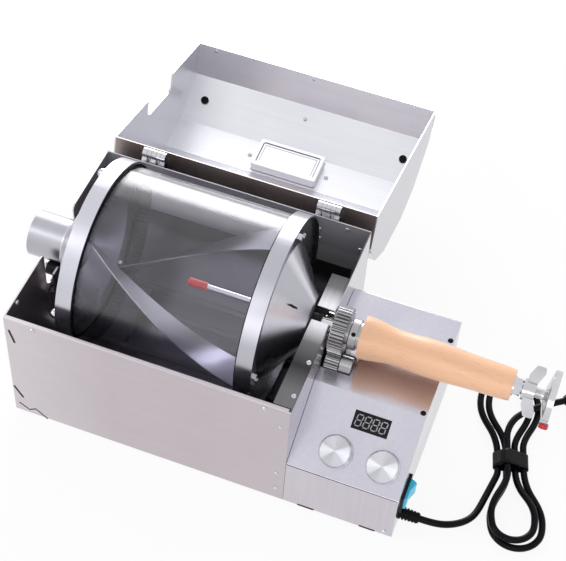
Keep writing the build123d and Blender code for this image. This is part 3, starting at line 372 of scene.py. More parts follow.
def make_finishes():
    """Every finish of the roaster, by its name."""
    colours = settings()[1]
    panel, deck, lid, drum = (tuple(c) for c in (colours.panel, colours.deck, colours.lid, colours.drum))
    left = corners("front_panel")[0].x
    lid_end = tint(lid, 0.86)
    cone_painted_fans = (-FORWARD, UP, CONE_PAINTED_FANS)
    finishes = [
        sheet_steel("panel_steel", (0.71, 0.66, 0.69), panel, ("X", left, left + 0.11), (0.30, 0.40)),
        flange_shade_steel("wall_steel", (0.64, 0.63, 0.66), corners("right_wall")[1].z),
        sheet_steel("back_steel", (0.60, 0.59, 0.62), (0.46, 0.45, 0.49), ("Z", 0.108, 0.116), (0.3, 0.4),
                    0.4),
        sheet_steel("vane_steel", (0.40, 0.40, 0.42), (0.50, 0.50, 0.53),
                    ("X", AXIS.x - 0.16, AXIS.x + 0.04), (0.26, 0.36)),
        # The deck is painted a little darker and warmer below its fold than on the slope: painted shade on the
        # face that looks forward
        sheet_steel("deck_steel", (0.63, 0.59, 0.64), deck, ("Z", FOLD - 0.002, FOLD + 0.003), (0.17, 0.25),
                    grain=UPWARD),
        # The lid is painted dark along its hinge edge: painted shade for the dark drum that strip mirrors
        sheet_steel("lid_steel", (0.36, 0.305, 0.285), lid, ("Y", HINGE.y + 0.009, HINGE.y + 0.012),
                    (0.28, 0.38)),
        sheet_steel("lid_end_steel", lid_end, lid_end, ("Z", 0.0, 0.1), (0.28, 0.38)),
        spun_steel("cap_steel", drum, AXIS, ALONG_DRUM, (0.24, 0.34), 0.7),
        spun_steel("cone_steel", drum, AXIS, ALONG_DRUM, (0.24, 0.34), 0.7, painted_fans=cone_painted_fans),
        spun_steel("spigot_steel", tint(drum, 0.78), AXIS, ALONG_DRUM, (0.26, 0.36), 0.6),
        plain_finish("trough_steel", (0.12, 0.115, 0.12), 0.4, 900.0, 0.06, 0.8),
        plain_finish("bright_steel", (0.62, 0.62, 0.64), 0.17, 500.0, 0.02, 1.0),
        plain_finish("gear_steel", (0.42, 0.41, 0.42), 0.28, 1500.0, 0.05, 1.0),
        plain_finish("black_rubber", (0.005, 0.005, 0.006), 0.5, 1500.0, 0.1, Specular_IOR_Level=0.1),
        plain_finish("black_plastic", (0.007, 0.007, 0.008), 0.35, 1200.0, 0.06, Specular_IOR_Level=0.15),
        plain_finish("cord_jacket", (0.003, 0.003, 0.005), 0.25, 700.0, 0.04, Specular_IOR_Level=0.1),
        plain_finish("blue_plastic", tuple(colours.rocker), 0.3, 600.0, 0.02, Coat_Weight=0.15),
        plain_finish("red_plastic", (0.60, 0.03, 0.03), 0.3, 600.0, 0.02),
        plain_finish("white_dial", (0.80, 0.80, 0.79), 0.4, 900.0, 0.02),
        plain_finish("heater_sheath", (0.12, 0.11, 0.10), 0.5, 700.0, 0.1, 0.7),
        plain_finish("display_black", (0.006, 0.006, 0.008), 0.1, 300.0, 0.01, Specular_IOR_Level=0.2),
        plain_finish("lit_segment", (0.42, 0.42, 0.44), 0.4, 900.0, 0.01),
        plain_finish("seam_shadow", (0.10, 0.10, 0.11), 0.6, 900.0, 0.02),
        clear_glass("clear_glass"),
        beech_wood("beech", tuple(colours.beech)),
    ]
    for knob, name in KNOB_FINISH.items():
        finishes.append(spun_steel(name, (0.88, 0.88, 0.93), KNOBS[knob], SLOPE_NORMAL, (0.36, 0.46), 0.9,
                                   2600.0, (ALONG_DRUM, UP_SLOPE, KNOB_PAINTED_FANS)))
    return {finish.name: finish for finish in finishes}


# Nodes whose finish differs from the rest of their slot
OWN_FINISH = {
    "knob_right": "right_knob_metal", "right_cap": "cone_steel", "spigot": "spigot_steel",
    "back_wall": "back_steel", "mixing_vanes": "vane_steel", "ferrule": "gear_steel", "lid_pull": "lid_steel",
    "lid_left_end": "lid_end_steel", "lid_right_end": "lid_end_steel",
}


class ROASTER_OT_finishes(bpy.types.Operator):
    """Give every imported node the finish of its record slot, or its own"""

    bl_idname = "roaster.finishes"
    bl_label = "Finishes"

    def execute(self, context):
        finishes = make_finishes()
        for part in frame["record"]["subparts"]:
            node = NODES[part["node"]]
            node.data.materials.clear()
            node.data.materials.append(finishes[OWN_FINISH.get(part["node"], part["material_slot"])])
        return {"FINISHED"}


def set_out(name, data):
    """New object for a mesh, curve, lamp or camera, in the scene."""
    made = bpy.data.objects.new(name, data)
    bpy.context.scene.collection.objects.link(made)
    return made


def add_piece(name, mesh, slot, body, finish=None):
    """Finished piece in its slot, riding on a body."""
    piece = set_out(name, mesh)
    mesh.materials.clear()
    mesh.materials.append(bpy.data.materials[finish or slot])
    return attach(piece, body)


def plain_mesh(holder):
    """Plain mesh of what an object shows. The object goes, after its modifiers."""
    evaluated = holder.evaluated_get(bpy.context.evaluated_depsgraph_get())
    mesh = bpy.data.meshes.new_from_object(evaluated)
    holder.modifiers.clear()
    bpy.data.objects.remove(holder)
    return mesh


def skin(bm, rings, closed=True, capped=False):
    """Faces between neighbouring rings of vertices, with caps on the end rings where asked for."""
    for first, second in zip(rings, rings[1:]):
        for i in range(len(first) if closed else len(first) - 1):
            after = (i + 1) % len(first)
            bm.faces.new((first[i], first[after], second[after], second[i]))
    if capped:
        bm.faces.new(rings[0])
        bm.faces.new(rings[-1])


def finished(bm, name, smooth=False):
    """Mesh from a bmesh, closed up and facing outwards."""
    bmesh.ops.remove_doubles(bm, verts=bm.verts, dist=1e-7)
    bmesh.ops.recalc_face_normals(bm, faces=bm.faces)
    mesh = bpy.data.meshes.new(name)
    bm.to_mesh(mesh)
    bm.free()
    for face in mesh.polygons:
        face.use_smooth = smooth
    return mesh


def turned_mesh(profile, sides, cross=0.0):
    """Small part turned about Z from (radius, height) points, with a cross recess of a given depth."""
    bm = bmesh.new()
    rings = []
    rim = profile[0][0]
    for radius, height in profile:
        ring = []
        for side in range(sides):
            angle = 2 * pi * side / sides
            in_cross = side % (sides // 4) == 0 or radius < 0.3 * rim
            low = height - cross if in_cross and radius < 0.65 * rim else height
            ring.append(bm.verts.new((radius * cos(angle), radius * sin(angle), low)))
        rings.append(ring)
    skin(bm, rings, capped=True)
    return finished(bm, "turned")


def bar(length, width, height, point=0.0):
    """Flat bar along X, standing on the XY plane, with pointed ends where a point's length is given."""
    half, side = length / 2, width / 2
    flat = half - point
    outline = [(-flat, -side), (flat, -side), (flat, side), (-flat, side)]
    if point:
        outline = [(-half, 0), *outline[:2], (half, 0), *outline[2:]]
    bm = bmesh.new()
    face = bm.faces.new([bm.verts.new((x, y, 0)) for x, y in outline])
    for vert in bmesh.ops.extrude_face_region(bm, geom=[face])["geom"]:
        if isinstance(vert, bmesh.types.BMVert):
            vert.co.z += height
    return finished(bm, "bar")


def new_tree(name, *inputs):
    """Geometry tree with a geometry input and output and the named inputs given as (name, kind)."""
    tree = bpy.data.node_groups.new(name, "GeometryNodeTree")
    tree.interface.new_socket("Geometry", in_out="OUTPUT", socket_type="NodeSocketGeometry")
    for label, kind in (("Geometry", "Geometry"), *inputs):
        tree.interface.new_socket(label, in_out="INPUT", socket_type="NodeSocket" + kind)
    return tree, tree.nodes.new("NodeGroupInput").outputs


def finish_tree(tree, geometry, finish):
    """Close a tree with real geometry and its finish."""
    real = add_node(tree, "GeometryNodeRealizeInstances", Geometry=geometry)
    paint = add_node(tree, "GeometryNodeSetMaterial", Geometry=real, Material=finish)
    add_node(tree, "NodeGroupOutput", Geometry=paint)


SPOT_ATTRIBUTES = ("facing", "way", "stretch")


def copies_tree():
    """Copies of one part on points, each turned to its facing and its way and stretched."""
    tree, given = new_tree("placed_copies", ("Part", "Object"), ("Scale", "Float"), ("Finish", "Material"))
    facing, way, stretch = (
        add_node(tree, "GeometryNodeInputNamedAttribute", data_type="FLOAT_VECTOR", Name=name)
        for name in SPOT_ATTRIBUTES)
    part = add_node(tree, "GeometryNodeObjectInfo", Object=given["Part"], As_Instance=True)
    stood = add_node(tree, "FunctionNodeAlignRotationToVector", axis="Z", Vector=facing)
    turned = add_node(tree, "FunctionNodeAlignRotationToVector", axis="X", pivot_axis="Z", Rotation=stood,
                      Vector=way)
    size = add_node(tree, "ShaderNodeVectorMath", stretch, operation="SCALE", Scale=given["Scale"])
    placed = add_node(tree, "GeometryNodeInstanceOnPoints", Points=given["Geometry"],
                      Instance=part.outputs["Geometry"], Rotation=turned, Scale=size)
    finish_tree(tree, placed, given["Finish"])
    return tree


def thread_tree():
    """Screw thread: a fine ridge wound about Z, a third of the pitch deep."""
    tree, given = new_tree("screw_thread", ("Radius", "Float"), ("Pitch", "Float"), ("Length", "Float"),
                           ("Finish", "Material"))
    turns = add_node(tree, "ShaderNodeMath", given["Length"], given["Pitch"], operation="DIVIDE")
    depth = add_node(tree, "ShaderNodeMath", given["Pitch"], 0.32, operation="MULTIPLY")
    spiral = add_node(tree, "GeometryNodeCurveSpiral", Resolution=28, Rotations=turns,
                      Start_Radius=given["Radius"], End_Radius=given["Radius"], Height=given["Length"])
    section = add_node(tree, "GeometryNodeCurvePrimitiveCircle", Resolution=6, Radius=depth)
    ridge = add_node(tree, "GeometryNodeCurveToMesh", Curve=spiral, Profile_Curve=section, Fill_Caps=True)
    finish_tree(tree, ridge, given["Finish"])
    return tree


def grown(carrier, tree, **values):
    """Plain mesh that a geometry tree makes of a carrier mesh."""
    holder = set_out("carrier", carrier)
    modifier = holder.modifiers.new("tree", "NODES")
    modifier.node_group = tree
    sockets = {item.name: item.identifier for item in tree.interface.items_tree if item.in_out == "INPUT"}
    for name, value in values.items():
        modifier[sockets[name]] = value
    mesh = plain_mesh(holder)
    if not mesh.polygons:
        raise RuntimeError("the tree " + tree.name + " made nothing")
    return mesh


def copies(name, part, spots, slot, body, finish=None):
    """One piece made of a part's copies at (point, facing, way, stretch) spots."""
    points = bpy.data.meshes.new(name + "_points")
    points.from_pydata([spot[0] for spot in spots], [], [])
    for index, attribute in enumerate(SPOT_ATTRIBUTES, 1):
        layer = points.attributes.new(attribute, "FLOAT_VECTOR", "POINT")
        for item, spot in zip(layer.data, spots):
            item.vector = spot[index] if len(spot) > index else (1, 1, 1)
    model = set_out(name + "_part", part)
    tree = bpy.data.node_groups.get("placed_copies") or copies_tree()
    mesh = grown(points, tree, Part=model, Scale=1.0, Finish=bpy.data.materials[finish or slot])
    bpy.data.objects.remove(model)
    return add_piece(name, mesh, slot, body, finish)


# Radians from one head to the next, and a head's outline as shares of its radius and height
HEAD_TURN = 1.7
HEAD_OUTLINE = ((1.0, -0.15), (1.0, 0.25), (0.86, 0.7), (0.62, 0.93), (0.3, 1.0), (0.05, 1.0))


def heads(name, body, spots, radius, height, cross=0.0, slot="bright_steel"):
    """Screw heads with a cross recess, or plain rivets, at (point, facing) spots, each at its own turn."""
    outline = [(radius * a, height * b) for a, b in HEAD_OUTLINE]
    turned = []
    for index, (point, facing) in enumerate(spots):
        side = facing.orthogonal().normalized()
        turned.append((point, facing, Matrix.Rotation(HEAD_TURN * index, 3, facing) @ side))
    copies(name, turned_mesh(outline, 24 if cross else 20, cross), turned, slot, body)


def lid_inside(x, u, n, way):
    """Spot on the inside of the lid: u from its hinge edge and n up from its rim, facing a shut-lid way."""
    back, rim = 122.0, 154.5
    return on_lid(at(x, back - u, rim + n)), lid_way(way)


# Heads in the casing, in millimetres: right from the front's left edge and up, or back from the front
PANEL_SCREWS = ((30, 148), (265, 148), (395, 9.6))
PANEL_RIVETS = ((281.5, 126), (281.5, 47), (281.5, 20))
BACK_SCREWS = ((235.5, 135.5), (236.5, 122), (265, 147), (281, 123), (26.8, 144), (20, 126))
FLANGE_SCREWS, DECK_SCREWS, LEFT_WALL_SCREW = (19, 60), (75, 168), (26, 147)
HEAD_INSET = 4 * MM


class ROASTER_OT_fasteners(bpy.types.Operator):
    """Set the screws and rivets in the casing and the lid"""

    bl_idname = "roaster.fasteners"
    bl_label = "Screws and rivets"

    def execute(self, context):
        sizes = settings()[0]
        low, flange = corners("front_panel")[0], corners("right_wall")[1]
        side, deck = corners("control_side")[1].x, corners("control_cover")[1].z

        def facing_front(places, y):
            return [(Vector((low.x + x * MM, y, z * MM)), FORWARD) for x, z in places]

        def facing_up(places, x, z):
            return [(Vector((x - HEAD_INSET, low.y + y * MM, z)), UP) for y in places]

        screws = facing_front(PANEL_SCREWS, low.y)
        screws += facing_front(BACK_SCREWS, corners("back_wall")[1].y - SHEET)
        screws += facing_up(FLANGE_SCREWS, flange.x, flange.z)
        y, z = LEFT_WALL_SCREW
        screws.append((Vector((low.x + SHEET, low.y + y * MM, z * MM)), ALONG_DRUM))
        heads("casing_screws", "casing", screws, sizes.screw, 0.0015, 0.0005)
        heads("casing_rivets", "casing", facing_front(PANEL_RIVETS, low.y), sizes.rivet, 0.0009)
        dark = facing_up(DECK_SCREWS, side, deck)
        heads("deck_screws", "casing", dark, 1.1 * sizes.screw, 0.0011, 0.0004, "black_plastic")
        outward = out_from_axis(130)
        grub = Vector((corners("ferrule")[0].x + 5 * MM, AXIS.y, AXIS.z)) + outward * 14.2 * MM
        heads("grub_screw", "drum", [(grub, outward)], 0.0021, 0.0008, 0.0006, "black_plastic")
        self.lid(sizes)
        return {"FINISHED"}

    def lid(self, sizes):
        """Heads inside the lid, on its steep, gentle and level faces."""
        steep, gentle, level = (0, 0.697, -0.717), (0, 0.323, -0.946), (0, 1, 0)
        screws = [lid_inside(-57.5, 231.4, 52.0, steep)]
        screws += [lid_inside(x, 179.6, 88.3, gentle) for x in (-103.5, -9.5)]
        heads("lid_screws", "lid", screws, sizes.screw, 0.0014, 0.0005)
        rivets = [lid_inside(x, 242.8, 4.5, level) for x in (-179.7, 63.1, -58)]
        rivets += [lid_inside(x, 1.2, 12, FORWARD) for x in (-190, -165, 27, 52)]
        heads("lid_rivets", "lid", rivets, sizes.rivet, 0.0009)


def add_ribbon(bm, points, normal, width, lift):
    """Thin strip along a line on a surface, narrowed at its ends."""
    ways = [(b - a).normalized() for a, b in zip(points, points[1:])]
    rows = [(points[0] - ways[0] * width / 3, normal.cross(ways[0]) * width / 5)]
    for index, point in enumerate(points):
        way = (ways[max(index - 1, 0)] + ways[min(index, len(ways) - 1)]).normalized()
        rows.append((point, normal.cross(way) * width / 2))
    rows.append((points[-1] + ways[-1] * width / 3, normal.cross(ways[-1]) * width / 5))
    rings = [[bm.verts.new(point + side * s + normal * h)
              for s, h in ((1, -lift), (1, lift), (-1, lift), (-1, -lift))] for point, side in rows]
    skin(bm, rings, capped=True)


def add_lines(name, lines, body, finish=None, lift=0.00008):
    """Piece of dark lines given as (points, normal, width), standing a hair off their surface."""
    bm = bmesh.new()
    for points, normal, width in lines:
        add_ribbon(bm, points, normal, width, lift)
    add_piece(name, finished(bm, name), "black_plastic", body, finish)


# Relief slits in the front, drawn as dark lines of painted shade for the openings, in millimetres from its left
# edge and up: share of the slit width, and the line
PANEL_SLITS = (
    (1.0, ((4.5, 136), (9, 119))), (1.0, ((1.5, 43), (10, 28))),
    (0.7, ((5, 16), (15.6, 9), (22.7, 14), (35, 3.5))),
    (1.0, ((306, 4.6), (322, 4.6))), (1.0, ((370, 4.6), (385, 4.6))),
)
# Painted shadow lines round the lid's pull, in millimetres: half lengths along and across, rise off the sheet, and
# width
PULL_LINES = ((31.4, 12.1, 0.0, 0.5), (34.7, 15.4, 0.0, 1.3), (38.3, 19.0, 1.0, 0.8))


class ROASTER_OT_slits(bpy.types.Operator):
    """Lay dark lines on the panels, the lid and the cone: painted shade for the relief slits and the slot, a dark
    line along the fold, and painted shadow round the lid's pull and at its right end's open corner
    """

    bl_idname = "roaster.slits"
    bl_label = "Slits and seams"

    def execute(self, context):
        width = settings()[0].slit
        low = corners("front_panel")[0]
        slits = [([Vector((low.x + x * MM, low.y, z * MM)) for x, z in line], FORWARD, share * width)
                 for share, line in PANEL_SLITS]
        add_lines("panel_slits", slits, "casing")
        # Dark line laid along the fold's bend
        bisector = (FORWARD + SLOPE_NORMAL).normalized()
        sunk, line_width = 0.00031, 0.0007
        edge = [Vector((corner.x, low.y, FOLD)) - bisector * sunk for corner in corners("control_cover")]
        add_lines("fold_seam", [(edge, bisector, line_width)], "casing")
        self.cone_slot()
        self.lid_seams()
        return {"FINISHED"}

    def cone_slot(self):
        """Short slot punched along the right cap's cone, from its wide rim towards its tip, drawn as a dark line
        of painted shade.
        """
        outward = out_from_axis(118)
        wide = at(40.5, 0, 140) + outward * 0.070
        way = at(67.5, 0, 140) + outward * 0.0245 - wide
        normal = way.cross(ALONG_DRUM.cross(outward)).normalized()
        if normal.dot(outward) < 0:
            normal = -normal
        slot = [wide + way * share for share in (0.42, 0.62)]
        add_lines("cone_slot", [(slot, normal, 0.0018)], "drum", lift=0.00012)

    def lid_seams(self):
        """Shadow lines round the pull's frame and the open corner of the lid's right end."""
        facet = lid_way((0, -0.946, -0.323))
        normal = facet.cross(ALONG_DRUM)
        left, right = corners("lid_pull")
        middle = Vector(((left.x + right.x) / 2, AXIS.y + 0.28807, 0.03531))
        lines = []
        for along, across, rise, width in PULL_LINES:
            rim = [middle + (ALONG_DRUM * along * a + facet * across * b + normal * rise) * MM
                   for a, b in ((-1, -1), (-1, 1), (1, 1), (1, -1), (-1, -1))]
            sides = list(zip(rim, rim[1:]))
            lines += [(side, normal, width * MM) for side in (sides if rise else sides[:3])]
        end = corners("lid_right_end")[1].x
        corner = [Vector((end, at(0, y, z).y, z * MM)) for y, z in ((372, 86), (368.5, 73))]
        lines.append((corner, ALONG_DRUM, 0.0016))
        add_lines("lid_seams", lines, "lid", "seam_shadow")


def ring_mesh(name, profile, sides=96):
    """Ring turned about the drum's axis from a closed outline of (place along it, radius) in millimetres."""
    bm = bmesh.new()
    rings = []
    for side in range(sides):
        angle = 2 * pi * side / sides
        rings.append([bm.verts.new(at(x, radius * cos(angle), AXIS.z / MM + radius * sin(angle)))
                      for x, radius in profile])
    skin(bm, rings + rings[:1])
    mesh = finished(bm, name, True)
    mesh.set_sharp_from_angle(angle=radians(35))
    return mesh


# Outside of the spigot's flare, in millimetres: reach out from the left cap, and radius
FLARE = ((9.2, 23.15), (8.0, 23.5), (6.6, 24.5), (5.2, 26.2), (3.8, 28.8), (2.5, 32.2), (1.3, 36.0),
         (0.4, 39.6), (-0.2, 40.1))
FLARE_BACK = ((0.2, 36.0), (0.2, 22.8), (9.2, 22.8))


class ROASTER_OT_flare(bpy.types.Operator):
    """Spin the flare that joins the spigot to the left cap"""

    bl_idname = "roaster.flare"
    bl_label = "Spigot flare"

    def execute(self, context):
        hub = (corners("left_cap")[0].x - AXIS.x) / MM
        profile = [(hub - reach, radius) for reach, radius in FLARE + FLARE_BACK]
        add_piece("spigot_flare", ring_mesh("spigot_flare", profile), "cap_steel", "drum")
        return {"FINISHED"}


class ROASTER_OT_display(bpy.types.Operator):
    """Draw the four display digits, every segment lit"""

    bl_idname = "roaster.display"
    bl_label = "Display digits"

    def execute(self, context):
        sizes = settings()[0]
        low, high = corners("display_window")
        middle = Vector(((low.x + high.x) / 2, 0, 0))
        middle.yz = (KNOBS["knob_left"] + UP_SLOPE * (DISPLAY_UP - KNOB_UP) * MM).yz
        middle += SLOPE_NORMAL * 0.00004
        half = sizes.digit / 2
        wide, step = sizes.digit * 0.25, sizes.digit * 0.72
        lean = tan(radians(7))
        upright = (UP_SLOPE + ALONG_DRUM * lean).normalized()
        segments = [(0, half, 0), (0, 0, 0), (0, -half, 0)]
        segments += [(side * wide, rise * half / 2, 1) for side in (-1, 1) for rise in (-1, 1)]
        spots = []
        for digit in range(4):
            for across, rise, standing in segments:
                x = (digit - 1.5) * step + across + lean * rise
                point = middle + ALONG_DRUM * x + UP_SLOPE * rise
                length = half * 0.86 if standing else wide * 1.66
                spots.append((point, SLOPE_NORMAL, upright if standing else ALONG_DRUM, (length, 1, 1)))
        part = bar(1.0, sizes.stroke, 0.00012, 0.08)
        copies("display_digits", part, spots, "white_dial", "casing", "lit_segment")
        return {"FINISHED"}


def numeral_mesh(words):
    """Flat raised numeral centred on the origin."""
    curve = bpy.data.curves.new("numeral", "FONT")
    curve.body = words
    curve.size, curve.extrude = 0.0042, 0.00006
    curve.align_x, curve.align_y = "CENTER", "CENTER"
    return plain_mesh(set_out("numeral", curve))


class ROASTER_OT_dial(bpy.types.Operator):
    """Print the thermometer's scale: ticks and numerals"""

    bl_idname = "roaster.dial"
    bl_label = "Thermometer scale"

    def execute(self, context):
        face = Vector((corners("thermometer_dial")[1].x, AXIS.y, AXIS.z))
        ticks, numerals = 50, 5
        rim, numeral_ring = 23.4, 15.5
        spots = []
        for tick in range(ticks + 1):
            outward = self.way(tick / ticks)
            long = 4.2 if tick % 10 == 0 else 3.0 if tick % 5 == 0 else 1.9
            wide = 1.6 if tick % 10 == 0 else 1.0
            spots.append((face + outward * (rim - long / 2) * MM, ALONG_DRUM, outward, (long, wide, 1)))
        copies("dial_ticks", bar(MM, 0.0004, 0.00008), spots, "black_plastic", "drum")
        bm = bmesh.new()
        turn = Matrix((-FORWARD, UP, ALONG_DRUM)).transposed().to_4x4()
        for step in range(numerals + 1):
            numeral = numeral_mesh(str(50 * step))
            place = face + self.way(step / numerals) * numeral_ring * MM
            numeral.transform(Matrix.Translation(place) @ turn)
            bm.from_mesh(numeral)
        add_piece("dial_numerals", finished(bm, "dial_numerals"), "black_plastic", "drum")
        return {"FINISHED"}

    def way(self, share):
        """Way from the dial's middle at a share of its sweep, seen from the handle's end."""
        return out_from_axis(215 - 250 * share)


class ROASTER_OT_knob_grips(bpy.types.Operator):
    """Ridge the grips of the two knobs"""

    bl_idname = "roaster.knob_grips"
    bl_label = "Knob ridges"

    def execute(self, context):
        count = settings()[0].ridges
        low, high, base, top = 3.4, 12.6, 15.93, 15.05
        for name, finish in KNOB_FINISH.items():
            spots = []
            for ridge in range(count):
                angle = 2 * pi * ridge / count
                outward = ALONG_DRUM * cos(angle) + UP_SLOPE * sin(angle)
                foot = KNOBS[name] + outward * base * MM + SLOPE_NORMAL * low * MM
                head = KNOBS[name] + outward * top * MM + SLOPE_NORMAL * high * MM
                spots.append(((foot + head) / 2, outward, head - foot))
            length = (high - low) * MM
            copies(name + "_ridges", bar(length, 0.0006, 0.0003, 0.0006), spots, "knob_metal", name, finish)
        return {"FINISHED"}


class ROASTER_OT_threads(bpy.types.Operator):
    """Wind the screw threads of the tail gland and the cap bolts"""

    bl_idname = "roaster.threads"
    bl_label = "Screw threads"

    def execute(self, context):
        low, high = corners("tail_gland")
        start = Vector((low.x + 0.0085, AXIS.y, AXIS.z))
        gland = self.thread(start, 0.00495, high.x - low.x - 0.0105)
        add_piece("gland_thread", gland, "bright_steel", "drum")
        start = Vector((corners("cap_bolts")[1].x - 0.0018, AXIS.y, AXIS.z))
        bm = bmesh.new()
        for degrees in (64, 184, 304):
            bm.from_mesh(self.thread(start + out_from_axis(degrees) * 0.083, 0.00245, 0.0015))
        add_piece("bolt_threads", finished(bm, "bolt_threads"), "bright_steel", "drum")
        return {"FINISHED"}

    def thread(self, start, radius, length):
        """Thread along the drum from its start, with two turns at least."""
        tree = bpy.data.node_groups.get("screw_thread") or thread_tree()
        pitch = min(settings()[0].pitch, length / 2)
        mesh = grown(bpy.data.meshes.new("axis"), tree, Radius=radius, Pitch=pitch, Length=length,
                     Finish=bpy.data.materials["bright_steel"])
        mesh.transform(Matrix.Translation(start) @ Matrix.Rotation(pi / 2, 4, "Y"))
        return mesh


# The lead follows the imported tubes: out of the strain relief, twice round the tied hank and on to the plug.
# Sizes are in millimetres and turns in degrees.
LANE, LAYER, LOBE_RUN, LOBE_DRAW, WAIST = 8.8, 7.8, 64.0, 17.0, 9.0
LOW, LEAD_HEADING, HANK_TURN = 5.1, 24.0, 15.7
OUTER, INNER, HIGH = 1.5 * LANE, 0.5 * LANE, LOW + LAYER
BEND, RUN_IN, LEAD_STEP = 31.5, 7, 16
HANK_PLACE = (288.0, 8.0)
LEAD_START = [(221.5, -97.0, 17.0), (236.2, -97.0, 17.0), (251.6, -91.5, 15.4), (264.0, -80.6, 12.0),
              (271.6, -66.2, 8.0)]
TAIL_RUNS = [(14.0, 0), (14.5, 20), (14.5, 40), (27.0, 60), (25.0, 70)]


def set_down(u, v, z):
    """Hank point in the casing's millimetres."""
    turn = radians(HANK_TURN)
    x = HANK_PLACE[0] + u * cos(turn) - v * sin(turn)
    y = HANK_PLACE[1] + u * sin(turn) + v * cos(turn)
    return x, y, z


def hank_points():
    """Strands through the waist, drawn in there, and the lobes that join them."""
    wide, narrow = OUTER + LOBE_DRAW, INNER + LOBE_DRAW
    far = WAIST + LOBE_RUN
    ease = LOBE_RUN * 0.27
    stations = [(-OUTER, LOW, wide, wide), (OUTER, LOW, wide, narrow), (-INNER, LOW, narrow, narrow),
                (INNER, HIGH, narrow, narrow)]
    points = []
    height = LOW
    for index, (waist, lobe_z, leave, meet) in enumerate(stations):
        way = 1 if waist < 0 else -1
        next_waist = stations[index + 1][0] if index < 3 else -INNER
        centre = way * (meet - leave) / 2
        radius = (leave + meet) / 2 / cos(radians(15))
        points += [(waist, -way * WAIST, height), (waist, way * (WAIST + ease), height),
                   (-way * leave, way * (far - ease), lobe_z)]
        points += [(centre - way * radius * cos(radians(a)), way * (far + radius * sin(radians(a))), lobe_z)
                   for a in range(15, 180, 30)]
        points += [(way * meet, way * (far - ease), lobe_z), (next_waist, way * (WAIST + ease), lobe_z)]
        height = lobe_z
    points += [(-INNER, -WAIST, HIGH), (-INNER, WAIST + RUN_IN, HIGH)]
    return points


def lead_route():
    """Control points of the whole lead, in metres."""
    heading = radians(LEAD_HEADING)
    reach = BEND * tan(heading / 2)
    corner = (-OUTER, -WAIST - reach)
    start = (corner[0] - (reach + RUN_IN) * sin(heading), corner[1] - (reach + RUN_IN) * cos(heading))
    before = (start[0] - LEAD_STEP * sin(heading), start[1] - LEAD_STEP * cos(heading))
    points = LEAD_START + [set_down(*place, LOW) for place in (before, start, corner)]
    points += [set_down(*point) for point in hank_points()]
    u, v = -INNER, WAIST + RUN_IN
    for run, turn in TAIL_RUNS:
        u += run * sin(radians(turn))
        v += run * cos(radians(turn))
        points.append(set_down(u, v, HIGH))
    return [at(*point) for point in points]


class ROASTER_OT_lead(bpy.types.Operator):
    """Lay the mains lead from the strain relief through the tied hank to the plug"""

    bl_idname = "roaster.lead"
    bl_label = "Mains lead"

    def execute(self, context):
        sizes = settings()[0]
        curve = bpy.data.curves.new("mains_lead", "CURVE")
        curve.dimensions = "3D"
        curve.bevel_depth = sizes.cord / 2
        curve.bevel_resolution = 5
        curve.resolution_u = 6
        curve.use_fill_caps = True
        points = lead_route()
        spline = curve.splines.new("NURBS")
        spline.points.add(len(points) - 1)
        for target, point in zip(spline.points, points):
            target.co = (*point, 1.0)
        spline.order_u = 3
        spline.use_endpoint_u = True
        lead = add_piece("mains_lead", curve, "cord_jacket", "casing")
        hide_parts("cord_lead", "cord_hank", "cord_tail")
        strap = self.strap(sizes)
        self.plug_ribs(points[-1], (points[-1] - points[-2]).normalized())
        return {"FINISHED"}

    def strap(self, sizes):
        """Woven strap drawn round the hank's waist, its end lapped over the top."""
        rounds = [(-OUTER, LOW), (OUTER, LOW), (-INNER, HIGH)]
        jacket = sizes.cord / MM / 2
        band = self.outline(rounds, jacket + 0.42)
        lap = sorted(p for p in self.outline(rounds, jacket + 1.55) if p[1] > LOW + 2)
        bm = bmesh.new()
        for line, closed, rows, share in ((band, True, 9, 1.0), (lap[2:-6], False, 8, 0.86)):
            across = [(row / (rows - 1) - 0.5) * sizes.tie / MM * share for row in range(rows)]
            skin(bm, [[bm.verts.new(at(*set_down(u, v, z))) for u, z in line] for v in across], closed)
        holder = set_out("strap_holder", finished(bm, "lead_strap", True))
        wall = holder.modifiers.new("wall", "SOLIDIFY")
        wall.thickness, wall.offset = 0.00105, 1.0
        strap = add_piece("lead_strap", plain_mesh(holder), "black_plastic", "casing")
        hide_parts("cord_tie")
        return strap

    def outline(self, rounds, radius):
        """Tight line round circles of one radius, as (u, z) points."""
        points = [Vector((u + radius * cos(a * pi / 20), z + radius * sin(a * pi / 20)))
                  for u, z in rounds for a in range(40)]
        return [tuple(points[i]) for i in convex_hull_2d(points)]

    def plug_ribs(self, start, way):
        """Bend-relief ribs on the plug's neck, which widens along its 24 mm."""
        ring = turned_mesh([(1.03, -0.5), (1.16, -0.3), (1.16, 0.3), (1.03, 0.5)], 24)
        spots = []
        for rib in range(6):
            reach = 2.5 + 3.4 * rib
            radius = (5.0 + 2.0 * reach / 24) * MM
            spots.append((start + way * reach * MM, way, UP, (radius, radius, 0.0016)))
        copies("plug_ribs", ring, spots, "black_plastic", "casing")


# Camera as solved from the photograph's box edges, in millimetres and pixels
CAMERA_AT = (297.84, -873.84, 1297.46)
CAMERA_AIM = (15.15, 67.56, 100.0)
CAMERA_UP = (-0.29765, 0.71512, 0.63246)
FOCAL_PIXELS = 1517.4
PHOTO_WIDTH = 566
# Lamps: place and aim in millimetres, size in metres and power in watts
LAMPS = (
    ("back_softbox", (-550, 1500, 470), (0, 0, 230), (1.15, 0.82), 18.0),
    ("top_softbox", (-550, 1480, 1240), (0, 0, 230), (1.15, 0.7), 2.5),
    ("left_softbox", (-1250, -650, 1150), (0, 0, 120), (0.8, 0.8), 6.0),
    ("front_fill", (500, -1500, 900), (0, 0, 100), (1.2, 0.8), 4.0),
)


